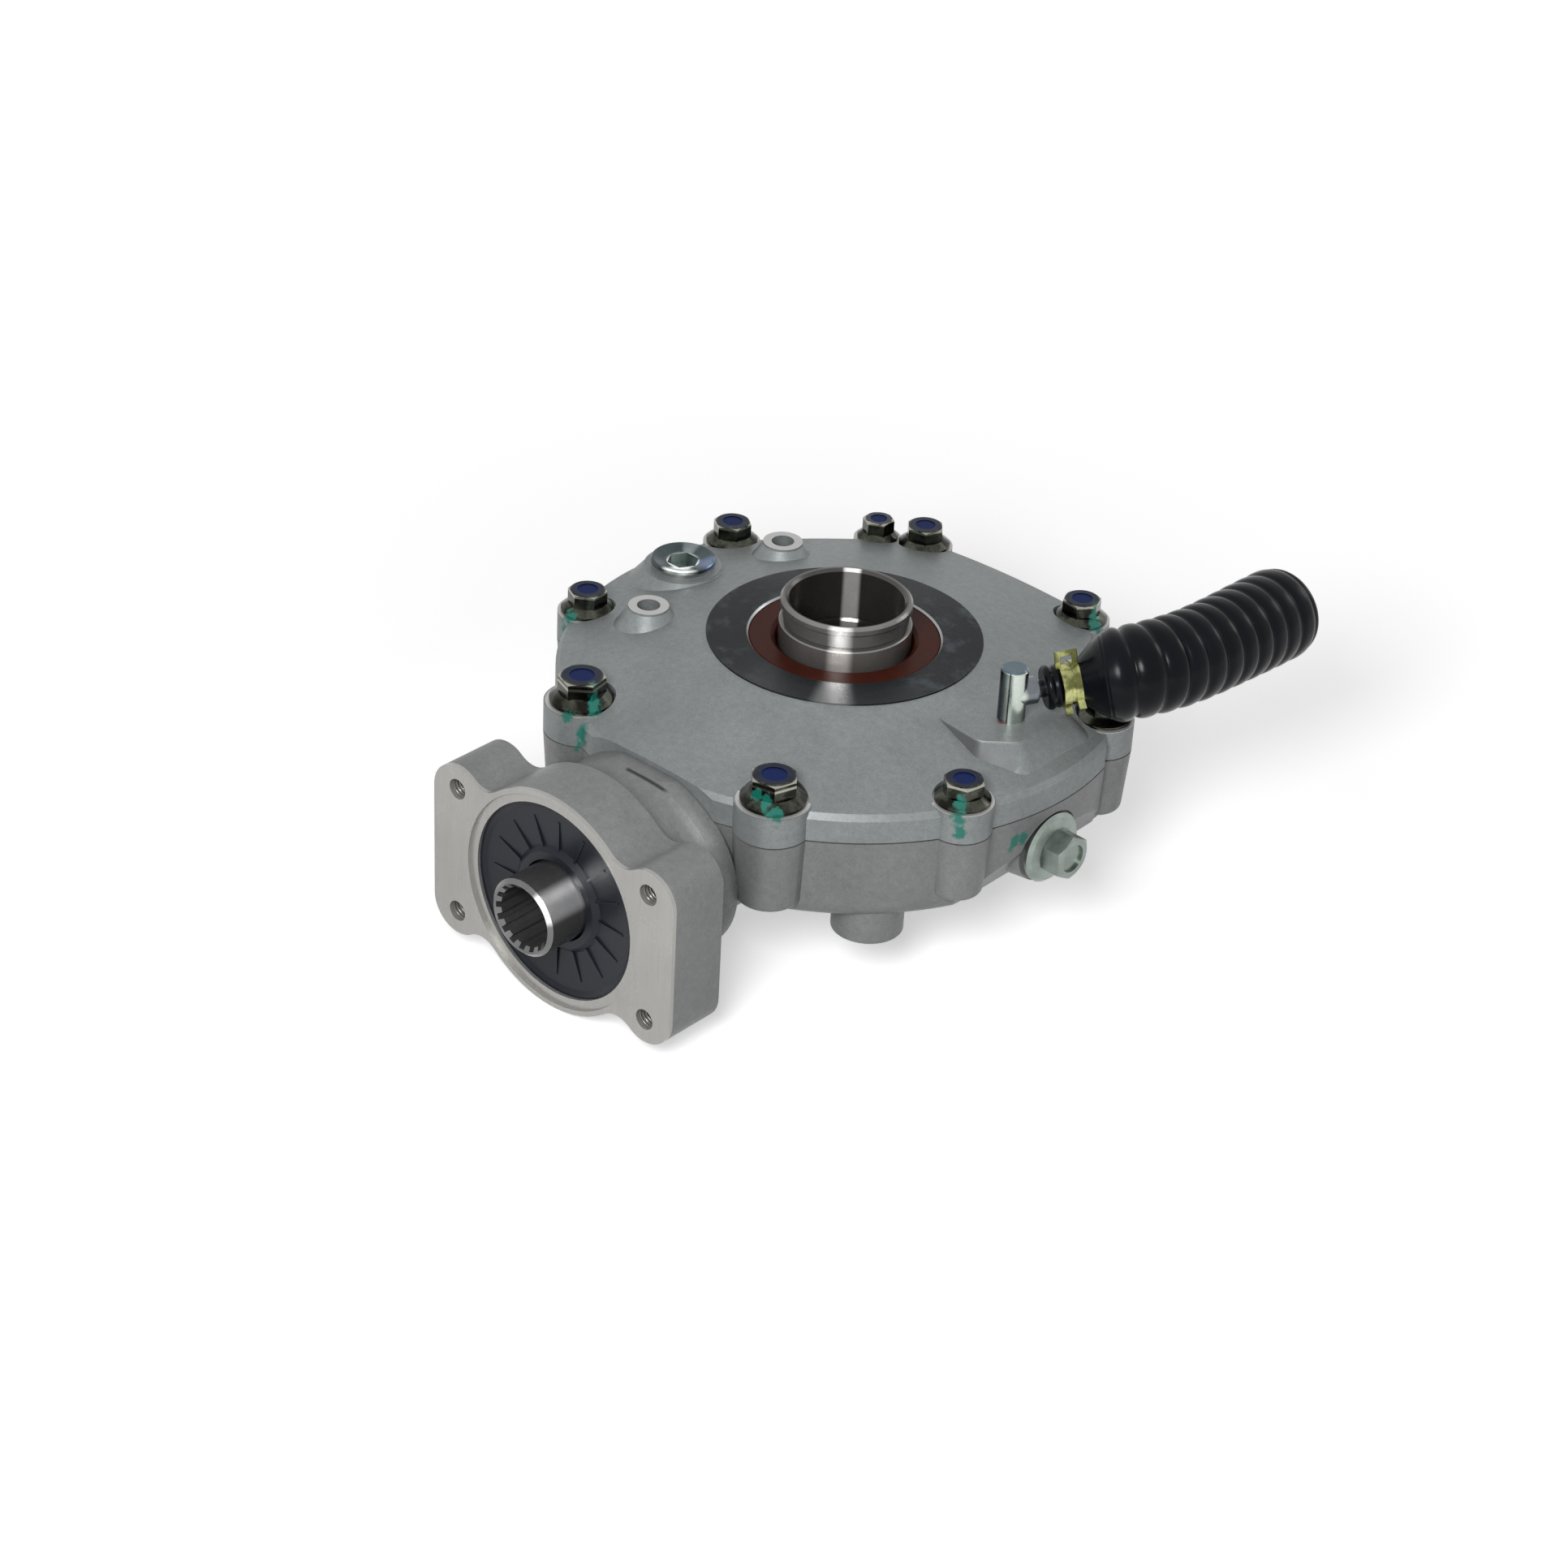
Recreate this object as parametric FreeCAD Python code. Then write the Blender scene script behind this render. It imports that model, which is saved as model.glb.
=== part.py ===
import FreeCAD, Part
import math
import os

# Rear differential with a bevel drive, an open differential and a flanged input.
# Millimetres. The origin is on the output axis at the machined ring face of the cover.
# +Z points out of the cover along the output axis, -Y points out of the input flange.

V = FreeCAD.Vector

# Output side: the machined ring, the oil seal and the splined-hub sleeve
ring_face_radius = 46.8
ring_face_step = 0.5
sleeve_radius = 22.5
sleeve_bore_radius = 19.5
sleeve_stickout = 14.0
seal_outer_radius = 32.5
seal_width = 7.0
seal_inset = 0.7
bearing_outer_radius = 34.0
bearing_width = 12.0
bearing_pocket_depth = 8.0
running_gap = 0.05
lip_gap = 0.06

# Cover casting
rim_radius = 97.0
front_flat_distance = 93.2
rear_flat_distance = 88.2
side_flat_distance = 86.0
side_flat_angle = 42.6
bolt_circle_radius = 92.6
right_bolt_inset = 1.4
bolt_seat_drop = 11.0
parting_drop = 21.5
cover_wall = 6.0
rim_width = 7.5
rim_edge_round = 1.6
hub_wall = 6.0
boss_radius = 10.3
large_boss_radius = 12.6
small_boss_radius = 8.6
boss_taper = 1.6
m8_flange_radius = 9.2
m10_flange_radius = 10.8
m6_flange_radius = 7.4
spot_face_margin = 0.5
gasket_thickness = 0.5

# Fasteners of the cover joint: angles on the bolt circle in degrees
m8_angles = (23.2, 66.4, 113.0, 156.8, -156.4, -24.3)
m10_angles = (-62.5, -117.5)
m6_angle = 123.6
m8_radius = 4.0
m10_radius = 5.0
m6_radius = 3.0
hole_clearance = 0.3
m8_grip_in_case = 16.0
m10_grip_in_case = 20.0
m6_grip_in_case = 12.0
dowel_radius = 3.5
dowel_length = 12.0
dowel_angles = (12.5, 180.0)
dowel_circle_radius = 91.5

# Fill plug, tapped bosses and vent on the cover
fill_plug_offset = 75.0
fill_thread_radius = 7.0
fill_boss_radius = 13.6
fill_boss_drop = 3.2
tapped_boss_circle_radius = 68.0
tapped_boss_angle = 150.0
tapped_boss_radius = 7.0
tapped_hole_radius = 4.0
tapped_hole_depth = 12.0
vent_x = 71.0
vent_y = 1.6
vent_pad_drop = 2.5
vent_pad_depth = 11.5
vent_pin_radius = 4.6
vent_pin_height = 18.8
vent_nipple_height = 9.0
vent_nipple_angle = 64.5
vent_stem_radius = 3.0

# Case casting
case_floor_drop = 53.0
case_floor = 6.0
case_wall_draft = 2.0
case_edge_round = 7.0
boss_drop = 45.0
large_boss_drop = 47.5
side_slope_top = 34.0
side_slope_reach_top = 95.5
side_slope_reach_floor = 83.0
hub_face_drop = 84.5
hub_radius = 38.5
lower_bearing_top_drop = 64.5
foot_boss_x = 60.5
foot_boss_y = 52.5
foot_boss_radius = 12.0
foot_boss_drop = 63.5
foot_thread_radius = 4.25
foot_thread_depth = 13.0
drain_angle = -2.5
drain_drop = 38.5
drain_boss_radius = 13.0
drain_face_radius = 94.0
drain_thread_radius = 6.0

# Input flange and neck
pinion_drop = 45.0
flange_reach = 138.5
flange_half_width = 53.5
lobe_centre_z = 21.0
lobe_radius = 10.9
lobe_blend = 9.0
flange_depth = 22.6
flange_hole_half_x = 42.6
flange_hole_half_z = 23.5
flange_thread_radius = 3.6
flange_thread_depth = 18.0
bulge_radius = 39.4
pilot_radius = 37.6
pilot_depth = 1.2
flange_bore_radius = 34.4
neck_radius = 35.6
neck_flare_radius = 39.4
neck_gap = 0.4
neck_height_share = 0.85
collar_flat_drop = 13.0
collar_flat_depth = 8.5
barrel_radius = 30.0

# Input shaft, its bearings and its seal
main_bearing_inner_radius = 12.5
main_bearing_outer_radius = 26.0
main_bearing_width = 18.0
main_bearing_start = 94.0
needle_bore_radius = 20.0
pinion_hub_radius = 16.0
needle_start = 70.0
needle_width = 16.0
retainer_radius = 28.0
retainer_width = 11.0
input_seal_outer_radius = 22.5
coupler_radius = 13.5
coupler_reach = 151.5
coupler_spline_teeth = 16
coupler_spline_minor = 10.3
coupler_spline_depth = 1.3
shaft_end_reach = 131.0
shield_thickness = 4.0
shield_face_inset = 2.4
shield_gap = 0.7
pinion_cavity_radius = 25.5
pinion_cavity_start = 45.5
pinion_cavity_end = 67.0

# Bevel gears: the crown wheel and pinion, then the differential's own gears
ring_teeth = 37
pinion_teeth = 11
ring_pitch_radius = 62.0
drive_face_width = 15.0
drive_shift = 0.35
drive_pressure_angle = 20.0
side_teeth = 16
spider_teeth = 10
side_pitch_radius = 16.8
spider_face_width = 6.5
spider_shift = 0.30
spider_pressure_angle = 22.5
tooth_clearance = 0.25
backlash = 0.12

# Differential case
carrier_radius = 31.0
carrier_flange_radius = 45.5
carrier_flange_thickness = 5.0
carrier_top_drop = 20.5
carrier_bottom_drop = 64.0
carrier_ball_radius = 24.5
carrier_cavity_half = 16.75
carrier_window_half = 16.0
ring_bolt_circle_radius = 38.5
ring_bolt_count = 8
ring_bolt_radius = 4.0
ring_back_drop = 16.0
ring_inner_radius = 31.0
ring_web_drop = 21.5
cross_pin_radius = 5.5
lock_pin_radius = 1.5
washer_thickness = 1.0
side_hub_radius = 15.4
side_spline_minor = 10.6
side_spline_depth = 1.2
side_spline_teeth = 18

# Rubber bellows on the vent
bellows_neck_radius = 6.2
bellows_collar_radius = 7.3
bellows_valley_radius = 13.2
bellows_radius = 14.9
bellows_folds = 12
bellows_route = ((75.9, 11.4, 6.5), (84.0, 22.4, 8.6), (95.6, 33.0, 12.6), (101.2, 50.5, 12.8),
                 (103.8, 71.0, 12.2), (105.6, 107.5, 11.4))

# Sizes that follow from the ones above
cone_slope = (bolt_seat_drop - ring_face_step) / (bolt_circle_radius - ring_face_radius)
case_top = -parting_drop - gasket_thickness
drive_ratio = ring_teeth / pinion_teeth
carrier_centre = -(carrier_top_drop + carrier_bottom_drop) / 2


def cone_height(radius):
    """Height of the cover's outer cone at a distance from the output axis."""
    return -ring_face_step - (radius - ring_face_radius) * cone_slope


def cylinder(radius, low, high, x=0.0, y=0.0):
    return Part.makeCylinder(radius, high - low, V(x, y, low))


def tube(outer, inner, low, high, x=0.0, y=0.0):
    return cylinder(outer, low, high, x, y).cut(cylinder(inner, low - 1, high + 1, x, y))


def revolved(profile):
    """Solid of revolution about Z from (radius, height) corners."""
    points = [V(radius, 0, height) for radius, height in profile]
    face = Part.Face(Part.makePolygon(points + points[:1]))
    return face.revolve(V(0, 0, 0), V(0, 0, 1), 360)


def on_circle(radius, angle):
    turn = math.radians(angle)
    return radius * math.cos(turn), radius * math.sin(turn)


def turned(shape, angle):
    copy = shape.copy()
    copy.rotate(V(0, 0, 0), V(0, 0, 1), angle)
    return copy


def moved(shape, x=0.0, y=0.0, z=0.0):
    copy = shape.copy()
    copy.translate(V(x, y, z))
    return copy


def on_input(shape):
    """Lay a shape built along +Z on the input axis: its Z becomes -Y, its Y becomes +Z."""
    copy = shape.copy()
    copy.rotate(V(0, 0, 0), V(1, 0, 0), 90)
    copy.translate(V(0, 0, -pinion_drop))
    return copy


def hexagon(across_flats, low, high):
    corner = across_flats / math.sqrt(3)
    points = [V(*on_circle(corner, 60 * step), low) for step in range(7)]
    return Part.Face(Part.makePolygon(points)).extrude(V(0, 0, high - low))


def chamfered_hexagon(across_flats, low, high):
    """Hexagon with its top corners turned off at 30 degrees."""
    corner = across_flats / math.sqrt(3)
    flat = across_flats / 2
    drop = (corner - flat) * 0.7
    turned_blank = revolved([(0, low), (corner + 0.1, low), (corner + 0.1, high - drop),
                             (flat * 0.96, high), (0, high)])
    return hexagon(across_flats, low, high).common(turned_blank)


def frustum(large, small):
    """Solid between two like polygons that share an apex, so that every side is flat."""
    count = len(large)
    faces = [Part.Face(Part.makePolygon(large + large[:1])), Part.Face(Part.makePolygon(small + small[:1]))]
    for index in range(count):
        after = (index + 1) % count
        corners = [large[index], large[after], small[after], small[index], large[index]]
        faces.append(Part.Face(Part.makePolygon(corners)))
    return Part.Solid(Part.Shell(faces))


def involute(angle):
    return math.tan(angle) - angle


def bevel_gear(teeth, pitch_radius, mate_radius, shift, pressure, face_width, blank):
    """Cut straight bevel tooth spaces in a blank whose apex is the origin and whose axis is +Z.

    The tooth form is an involute on the back cone, drawn towards the apex.
    A space is centred on the +X direction.
    """
    cone = math.atan2(pitch_radius, mate_radius)
    reach = math.hypot(pitch_radius, mate_radius)
    module = 2 * pitch_radius / teeth
    virtual_radius = pitch_radius / math.cos(cone)
    virtual_teeth = teeth / math.cos(cone)
    pressure = math.radians(pressure)
    base_radius = virtual_radius * math.cos(pressure)
    root = virtual_radius - module * (1 + tooth_clearance - shift)
    tip = virtual_radius + module * (1 + shift) + 0.6
    half_tooth = (math.pi / 2 + 2 * shift * math.tan(pressure)) / virtual_teeth - backlash / virtual_radius
    steps = 5
    lowest = max(root, base_radius)
    radii = [lowest + (tip - lowest) * step / steps for step in range(steps + 1)]
    if root < base_radius:
        radii = [root] + radii
    side = []
    for radius in radii:
        spread = involute(math.acos(min(1.0, base_radius / radius)))
        half_space = math.pi / virtual_teeth - (half_tooth + involute(pressure) - spread)
        side.append((radius * math.sin(half_space), radius * math.cos(half_space) - virtual_radius))
    side.append((side[-1][0], side[-1][1] + module))
    outline = [(-across, height) for across, height in reversed(side)] + side

    def section(scale):
        points = []
        for across, height in outline:
            radial = scale * (reach * math.sin(cone) + height * math.cos(cone))
            axial = scale * (reach * math.cos(cone) - height * math.sin(cone))
            points.append(V(radial, across * scale, axial))
        return points

    cutter = frustum(section(1.06), section((reach - face_width) / reach - 0.06))
    spaces = [turned(cutter, 360.0 * index / teeth) for index in range(teeth)]
    return blank.cut(Part.makeCompound(spaces))


def spline_spaces(teeth, minor, depth, low, high, gap=0.0):
    """Straight-sided grooves between the teeth of an internal spline."""
    pitch = math.pi / teeth
    inner = minor - 0.6
    outer = minor + depth - gap
    half_in = inner * math.sin(pitch) * 0.62 - gap
    half_out = outer * math.sin(pitch) * 0.46 - gap
    points = [V(inner, -half_in, low), V(outer, -half_out, low), V(outer, half_out, low), V(inner, half_in, low)]
    groove = Part.Face(Part.makePolygon(points + points[:1])).extrude(V(0, 0, high - low))
    return Part.makeCompound([turned(groove, 360.0 * index / teeth) for index in range(teeth)])


def rim_prism(inset, low, high):
    """The cover joint's outline: a circle with two end flats and two flats between the rear bolts."""
    body = cylinder(rim_radius - inset, low, high)
    size = 2 * rim_radius
    flats = ((90, rear_flat_distance), (-90, front_flat_distance),
             (side_flat_angle, side_flat_distance), (180 - side_flat_angle, side_flat_distance))
    for angle, distance in flats:
        block = Part.makeBox(size, size, high - low + 2, V(distance - inset, -size / 2, low - 1))
        body = body.cut(turned(block, angle))
    return body


def at_bolt(angle):
    """Place of a joint bolt: the bolts on the right rear stand a little closer to the middle."""
    return on_circle(bolt_circle_radius - (right_bolt_inset if 0 < angle < 90 else 0), angle)


def bolt_places():
    """Every joint bolt as (x, y, shank radius, boss radius, head flange radius, grip in the case)."""
    kinds = ((m8_angles, m8_radius, boss_radius, m8_flange_radius, m8_grip_in_case),
             (m10_angles, m10_radius, large_boss_radius, m10_flange_radius, m10_grip_in_case),
             ((m6_angle,), m6_radius, small_boss_radius, m6_flange_radius, m6_grip_in_case))
    places = []
    for angles, radius, boss, head, grip in kinds:
        for angle in angles:
            places.append((*at_bolt(angle), radius, boss, head, grip))
    return places


def vent_pad():
    """Flat pad with sloping walls and rounded outer corners that carries the vent pin."""
    top = ((44.0, -14.4), (73.5, -17.6), (83.2, -8.6), (82.0, 18.5), (56.0, 24.0))
    foot = ((44.0, -18.6), (76.0, -22.0), (91.0, -14.0), (90.4, 24.0), (56.0, 30.0))
    height = -vent_pad_drop

    def outline(corners, z, rounding):
        flat = Part.Face(Part.makePolygon([V(x, y, z) for x, y in corners + corners[:1]])).extrude(V(0, 0, 1))
        outer = [edge for edge in flat.Edges
                 if abs(edge.tangentAt(edge.FirstParameter).z) > 0.99 and edge.Vertexes[0].Point.x > 65]
        solid = flat.makeFillet(rounding, outer)
        return [face for face in solid.Faces
                if abs(face.BoundBox.ZMax - z) < 0.01 and abs(face.BoundBox.ZMin - z) < 0.01][0].OuterWire

    return Part.makeLoft([outline(foot, -vent_pad_depth, 7.0), outline(top, height, 4.6)], True, True)


def cover():
    outer = revolved([(0, 0), (ring_face_radius, 0), (ring_face_radius, -ring_face_step),
                      (rim_radius - rim_edge_round, cone_height(rim_radius - rim_edge_round)),
                      (rim_radius, cone_height(rim_radius) - rim_edge_round),
                      (rim_radius, -parting_drop), (0, -parting_drop)])
    outer = outer.common(rim_prism(0, -parting_drop, 1))
    cavity_radius = rim_radius - rim_width
    hollow = revolved([(0, -parting_drop - 1), (cavity_radius + 20, -parting_drop - 1),
                       (cavity_radius + 20, cone_height(cavity_radius + 20) - cover_wall),
                       (bearing_outer_radius, cone_height(bearing_outer_radius) - cover_wall),
                       (0, cone_height(bearing_outer_radius) - cover_wall)])
    hollow = hollow.common(rim_prism(rim_width, -parting_drop - 1, 1))
    bosses = [cylinder(boss, -parting_drop, -bolt_seat_drop, x, y) for x, y, _, boss, _, _ in bolt_places()]
    for side in (1, -1):
        x, y = on_circle(tapped_boss_circle_radius, side * tapped_boss_angle)
        bosses.append(cylinder(tapped_boss_radius, -tapped_hole_depth - 2.5, 0, x, y))
        bosses.append(Part.makeCone(tapped_boss_radius + 5.0, tapped_boss_radius, 7.5, V(x, y, -8.3)))
    fill_boss = cylinder(fill_boss_radius, -parting_drop + 4, -fill_boss_drop, -fill_plug_offset, 0)
    fill_boss = fill_boss.fuse(Part.makeCone(fill_boss_radius + 5.5, fill_boss_radius, 6.5,
                                             V(-fill_plug_offset, 0, -fill_boss_drop - 7.0)))
    hub = cylinder(bearing_outer_radius + hub_wall, -bearing_pocket_depth - bearing_width - 0.3, -4)
    body = outer.cut(hollow).fuse(bosses + [fill_boss, vent_pad(), hub])
    cuts = [cylinder(seal_outer_radius, -parting_drop, 1),
            cylinder(bearing_outer_radius, -parting_drop, -bearing_pocket_depth)]
    for x, y, radius, _, head, _ in bolt_places():
        cuts.append(cylinder(radius + hole_clearance, -parting_drop - 1, 1, x, y))
        cuts.append(cylinder(head + spot_face_margin, -bolt_seat_drop, 1, x, y))
    for side in (1, -1):
        x, y = on_circle(tapped_boss_circle_radius, side * tapped_boss_angle)
        cuts.append(cylinder(tapped_hole_radius, -tapped_hole_depth, 1, x, y))
    for angle in dowel_angles:
        x, y = on_circle(dowel_circle_radius, angle)
        cuts.append(cylinder(dowel_radius, -parting_drop - 1, case_top + gasket_thickness + dowel_length / 2, x, y))
    cuts.append(cylinder(fill_thread_radius, -parting_drop, 1, -fill_plug_offset, 0))
    cuts.append(cylinder(vent_stem_radius, -parting_drop, 1, vent_x, vent_y))
    chamfer = revolved([(seal_outer_radius - 1, 0.1), (seal_outer_radius + 0.9, 0.1),
                        (seal_outer_radius - 1, -1.8)])
    return body.cut(Part.makeCompound(cuts)).cut(chamfer).removeSplitter()


def tangent_centre(first, first_radius, second, second_radius):
    """Centre of the circle at given distances from two points, on the left of their line."""
    gap = second - first
    along = (gap.Length ** 2 + first_radius ** 2 - second_radius ** 2) / (2 * gap.Length)
    aside = math.sqrt(first_radius ** 2 - along ** 2)
    gap.normalize()
    return first + gap * along + V(-gap.y, gap.x, 0) * aside


def flange_outline():
    """Right upper quarter of the flange, from the +X side round the lobe to the top of the bulge."""
    lobe = V(flange_half_width - lobe_radius, lobe_centre_z, 0)
    origin = V(0, 0, 0)
    blend = tangent_centre(lobe, lobe_radius + lobe_blend, origin, bulge_radius + lobe_blend)
    if blend.y < lobe.y:
        blend = tangent_centre(origin, bulge_radius + lobe_blend, lobe, lobe_radius + lobe_blend)

    def towards(centre, point, radius):
        return centre + (point - centre).normalize() * radius

    def between(centre, first, last, radius):
        middle = (first - centre).normalize() + (last - centre).normalize()
        return centre + middle.normalize() * radius

    side = lobe + V(lobe_radius, 0, 0)
    leave_lobe = towards(lobe, blend, lobe_radius)
    meet_bulge = towards(origin, blend, bulge_radius)
    top = V(0, bulge_radius, 0)
    return ((side, between(lobe, side, leave_lobe, lobe_radius), leave_lobe),
            (leave_lobe, between(blend, leave_lobe, meet_bulge, lobe_blend), meet_bulge),
            (meet_bulge, between(origin, meet_bulge, top, bulge_radius), top))


def flange_plate():
    """Plate with four drilled lobes that blend into the round middle, built along the input axis."""
    edges = []
    for flip_x, flip_y in ((1, 1), (-1, 1), (-1, -1), (1, -1)):
        arcs = [[V(p.x * flip_x, p.y * flip_y, flange_reach - flange_depth) for p in arc]
                for arc in flange_outline()]
        for arc in arcs:
            edges.append(Part.Arc(*arc).toShape())
    half = lobe_centre_z
    for side in (1, -1):
        start = flange_reach - flange_depth
        edges.append(Part.makeLine(V(side * flange_half_width, -half, start), V(side * flange_half_width, half, start)))
    wire = Part.Wire(Part.__sortEdges__(edges))
    return Part.Face(wire).extrude(V(0, 0, flange_depth))


def neck():
    """Oval neck from the case to the flange, its collar cut flat where the cover's rim stands over it."""
    foot = front_flat_distance - 0.2
    flange_back = flange_reach - flange_depth
    valley = foot + 12.0
    crest = Part.Arc(V(neck_flare_radius, 0, foot), V(neck_flare_radius - 0.3, 0, foot + 3.2),
                     V(neck_flare_radius - 1.6, 0, foot + 6.2))
    fall = Part.Arc(V(neck_flare_radius - 1.6, 0, foot + 6.2), V(neck_radius + 0.5, 0, valley - 2.8),
                    V(neck_radius, 0, valley))
    rise = Part.Arc(V(neck_radius, 0, flange_back - 7.0), V(neck_radius + 1.1, 0, flange_back - 2.8),
                    V(bulge_radius - 0.1, 0, flange_back + 0.5))
    wire = [Part.makeLine(V(0, 0, foot), V(neck_flare_radius, 0, foot)), crest.toShape(), fall.toShape(),
            Part.makeLine(V(neck_radius, 0, valley), V(neck_radius, 0, flange_back - 7.0)), rise.toShape(),
            Part.makeLine(V(bulge_radius - 0.1, 0, flange_back + 0.5), V(0, 0, flange_back + 0.5)),
            Part.makeLine(V(0, 0, flange_back + 0.5), V(0, 0, foot))]
    body = Part.Face(Part.Wire(wire)).revolve(V(0, 0, 0), V(0, 0, 1), 360)
    squeeze = FreeCAD.Matrix()
    squeeze.scale(1, neck_height_share, 1)
    oval = body.transformGeometry(squeeze)
    top = pinion_drop - collar_flat_drop
    return oval.cut(Part.makeBox(200, 40, collar_flat_depth + 1, V(-100, top, foot - 1)))


def side_slopes(inset):
    """Wedges that cut the case's sides to a slope below the drain plug's height."""
    floor = -case_floor_drop
    run = side_slope_reach_top - side_slope_reach_floor
    rise = case_floor_drop - side_slope_top
    shift = inset * math.hypot(run, rise) / rise
    low = V(side_slope_reach_floor - shift - run / rise * 10, -150, floor - 10)
    high = V(side_slope_reach_top - shift + run / rise * 10, -150, -side_slope_top + 10)
    face = Part.Face(Part.makePolygon([low, high, V(150, -150, high.z), V(150, -150, low.z), low]))
    wedge = face.extrude(V(0, 300, 0))
    return [wedge, turned(wedge, 180)]


def boss_column(x, y, radius, low):
    """Boss under a joint bolt that narrows downwards and ends in a rounded foot."""
    column = Part.makeCone(radius - boss_taper, radius, case_top - low, V(x, y, low))
    foot = [edge for edge in column.Edges if abs(edge.BoundBox.ZMax - low) < 0.01]
    return column.makeFillet(2.4, foot)


def case():
    floor = -case_floor_drop
    wall_foot = rim_radius - case_wall_draft
    shell = [Part.makeLine(V(0, 0, case_top), V(rim_radius, 0, case_top)),
             Part.makeLine(V(rim_radius, 0, case_top), V(wall_foot, 0, floor + case_edge_round)),
             Part.Arc(V(wall_foot, 0, floor + case_edge_round),
                      V(wall_foot - case_edge_round * 0.293, 0, floor + case_edge_round * 0.293),
                      V(wall_foot - case_edge_round, 0, floor)).toShape(),
             Part.makeLine(V(wall_foot - case_edge_round, 0, floor), V(0, 0, floor)),
             Part.makeLine(V(0, 0, floor), V(0, 0, case_top))]
    outer = Part.Face(Part.Wire(shell)).revolve(V(0, 0, 0), V(0, 0, 1), 360)
    outer = outer.common(rim_prism(0, floor - 1, case_top + 1))
    for wedge in side_slopes(0):
        outer = outer.cut(wedge)
    cavity = rim_prism(rim_width, floor + case_floor, case_top + 1)
    for wedge in side_slopes(rim_width):
        cavity = cavity.cut(wedge)
    columns = []
    for x, y, radius, boss, _, _ in bolt_places():
        columns.append(boss_column(x, y, boss, -large_boss_drop if radius == m10_radius else -boss_drop))
    for side_x in (1, -1):
        for side_y in (1, -1):
            columns.append(cylinder(foot_boss_radius, -foot_boss_drop, floor + 2,
                                    side_x * foot_boss_x, side_y * foot_boss_y))
    drain = Part.makeCone(drain_boss_radius + 1.5, drain_boss_radius, 12, V(drain_face_radius - 12, 0, -drain_drop),
                          V(1, 0, 0))
    columns.append(turned(drain, drain_angle))
    hub = revolved([(0, floor + 1), (hub_radius + 6, floor + 1), (hub_radius, floor - 6),
                    (hub_radius, -hub_face_drop + 1), (hub_radius - 1, -hub_face_drop), (0, -hub_face_drop)])
    barrel = on_input(cylinder(barrel_radius, bearing_outer_radius, front_flat_distance))
    barrel = barrel.common(Part.makeBox(200, 200, 200, V(-100, -150, case_top - 200)))
    inner_barrel = on_input(cylinder(barrel_radius, pinion_cavity_end, front_flat_distance))
    inner_barrel = inner_barrel.common(Part.makeBox(200, 200, 200, V(-100, -150, case_top - 200)))
    front = on_input(neck().fuse(flange_plate())).cut(rim_prism(-neck_gap, case_top, 1))
    front = front.cut(Part.makeCompound([cylinder(boss + neck_gap, case_top, 1, x, y)
                                         for x, y, _, boss, _, _ in bolt_places()]))
    body = outer.cut(cavity).fuse(columns + [hub, barrel]).fuse(front)

    main_chamber = cavity.cut(Part.makeCompound([cylinder(boss, floor, case_top + 2, x, y)
                                                       for x, y, _, boss, _, _ in bolt_places()]))
    main_chamber = main_chamber.cut(inner_barrel)
    cuts = [main_chamber,
            cylinder(bearing_outer_radius, -lower_bearing_top_drop - bearing_width, floor + case_floor + 1),
            cylinder(seal_outer_radius, -hub_face_drop - 1, -lower_bearing_top_drop),
            on_input(cylinder(pinion_cavity_radius, pinion_cavity_start, pinion_cavity_end)),
            on_input(cylinder(needle_bore_radius, pinion_cavity_end - 1, main_bearing_start + 1)),
            on_input(cylinder(main_bearing_outer_radius, main_bearing_start,
                              main_bearing_start + main_bearing_width + 0.5)),
            on_input(cylinder(retainer_radius, main_bearing_start + main_bearing_width, flange_reach)),
            on_input(cylinder(flange_bore_radius, main_bearing_start + main_bearing_width + retainer_width,
                              flange_reach + 1)),
            on_input(cylinder(pilot_radius, flange_reach - pilot_depth, flange_reach + 1))]
    for x, y, radius, _, _, grip in bolt_places():
        cuts.append(cylinder(radius, case_top - grip, case_top + 1, x, y))
    for angle in dowel_angles:
        x, y = on_circle(dowel_circle_radius, angle)
        cuts.append(cylinder(dowel_radius, case_top - dowel_length / 2, case_top + 1, x, y))
    for side_x in (1, -1):
        for side_y in (1, -1):
            cuts.append(cylinder(foot_thread_radius, -foot_boss_drop - 1, -foot_boss_drop + foot_thread_depth,
                                 side_x * foot_boss_x, side_y * foot_boss_y))
            hole = cylinder(flange_thread_radius, flange_reach - flange_thread_depth, flange_reach + 1,
                            side_x * flange_hole_half_x, side_y * flange_hole_half_z)
            cuts.append(on_input(hole))
    drain_hole = Part.makeCylinder(drain_thread_radius, 30, V(drain_face_radius - 29, 0, -drain_drop), V(1, 0, 0))
    drain_hole = drain_hole.fuse(Part.makeCylinder(drain_boss_radius + 0.2, 10, V(drain_face_radius, 0, -drain_drop),
                                                   V(1, 0, 0)))
    cuts.append(turned(drain_hole, drain_angle))
    for cutter in cuts:
        body = body.cut(cutter)
    return body


def cover_gasket():
    sheet = rim_prism(0.4, case_top, case_top + gasket_thickness)
    sheet = sheet.cut(rim_prism(rim_width - 0.4, case_top - 1, case_top + 1))
    ears = [cylinder(boss - 0.4, case_top, case_top + gasket_thickness, x, y)
            for x, y, _, boss, _, _ in bolt_places()]
    holes = [cylinder(radius + hole_clearance, case_top - 1, case_top + 1, x, y)
             for x, y, radius, _, _, _ in bolt_places()]
    for angle in dowel_angles:
        holes.append(cylinder(dowel_radius, case_top - 1, case_top + 1, *on_circle(dowel_circle_radius, angle)))
    return sheet.fuse(ears).cut(Part.makeCompound(holes)).removeSplitter()


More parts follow.
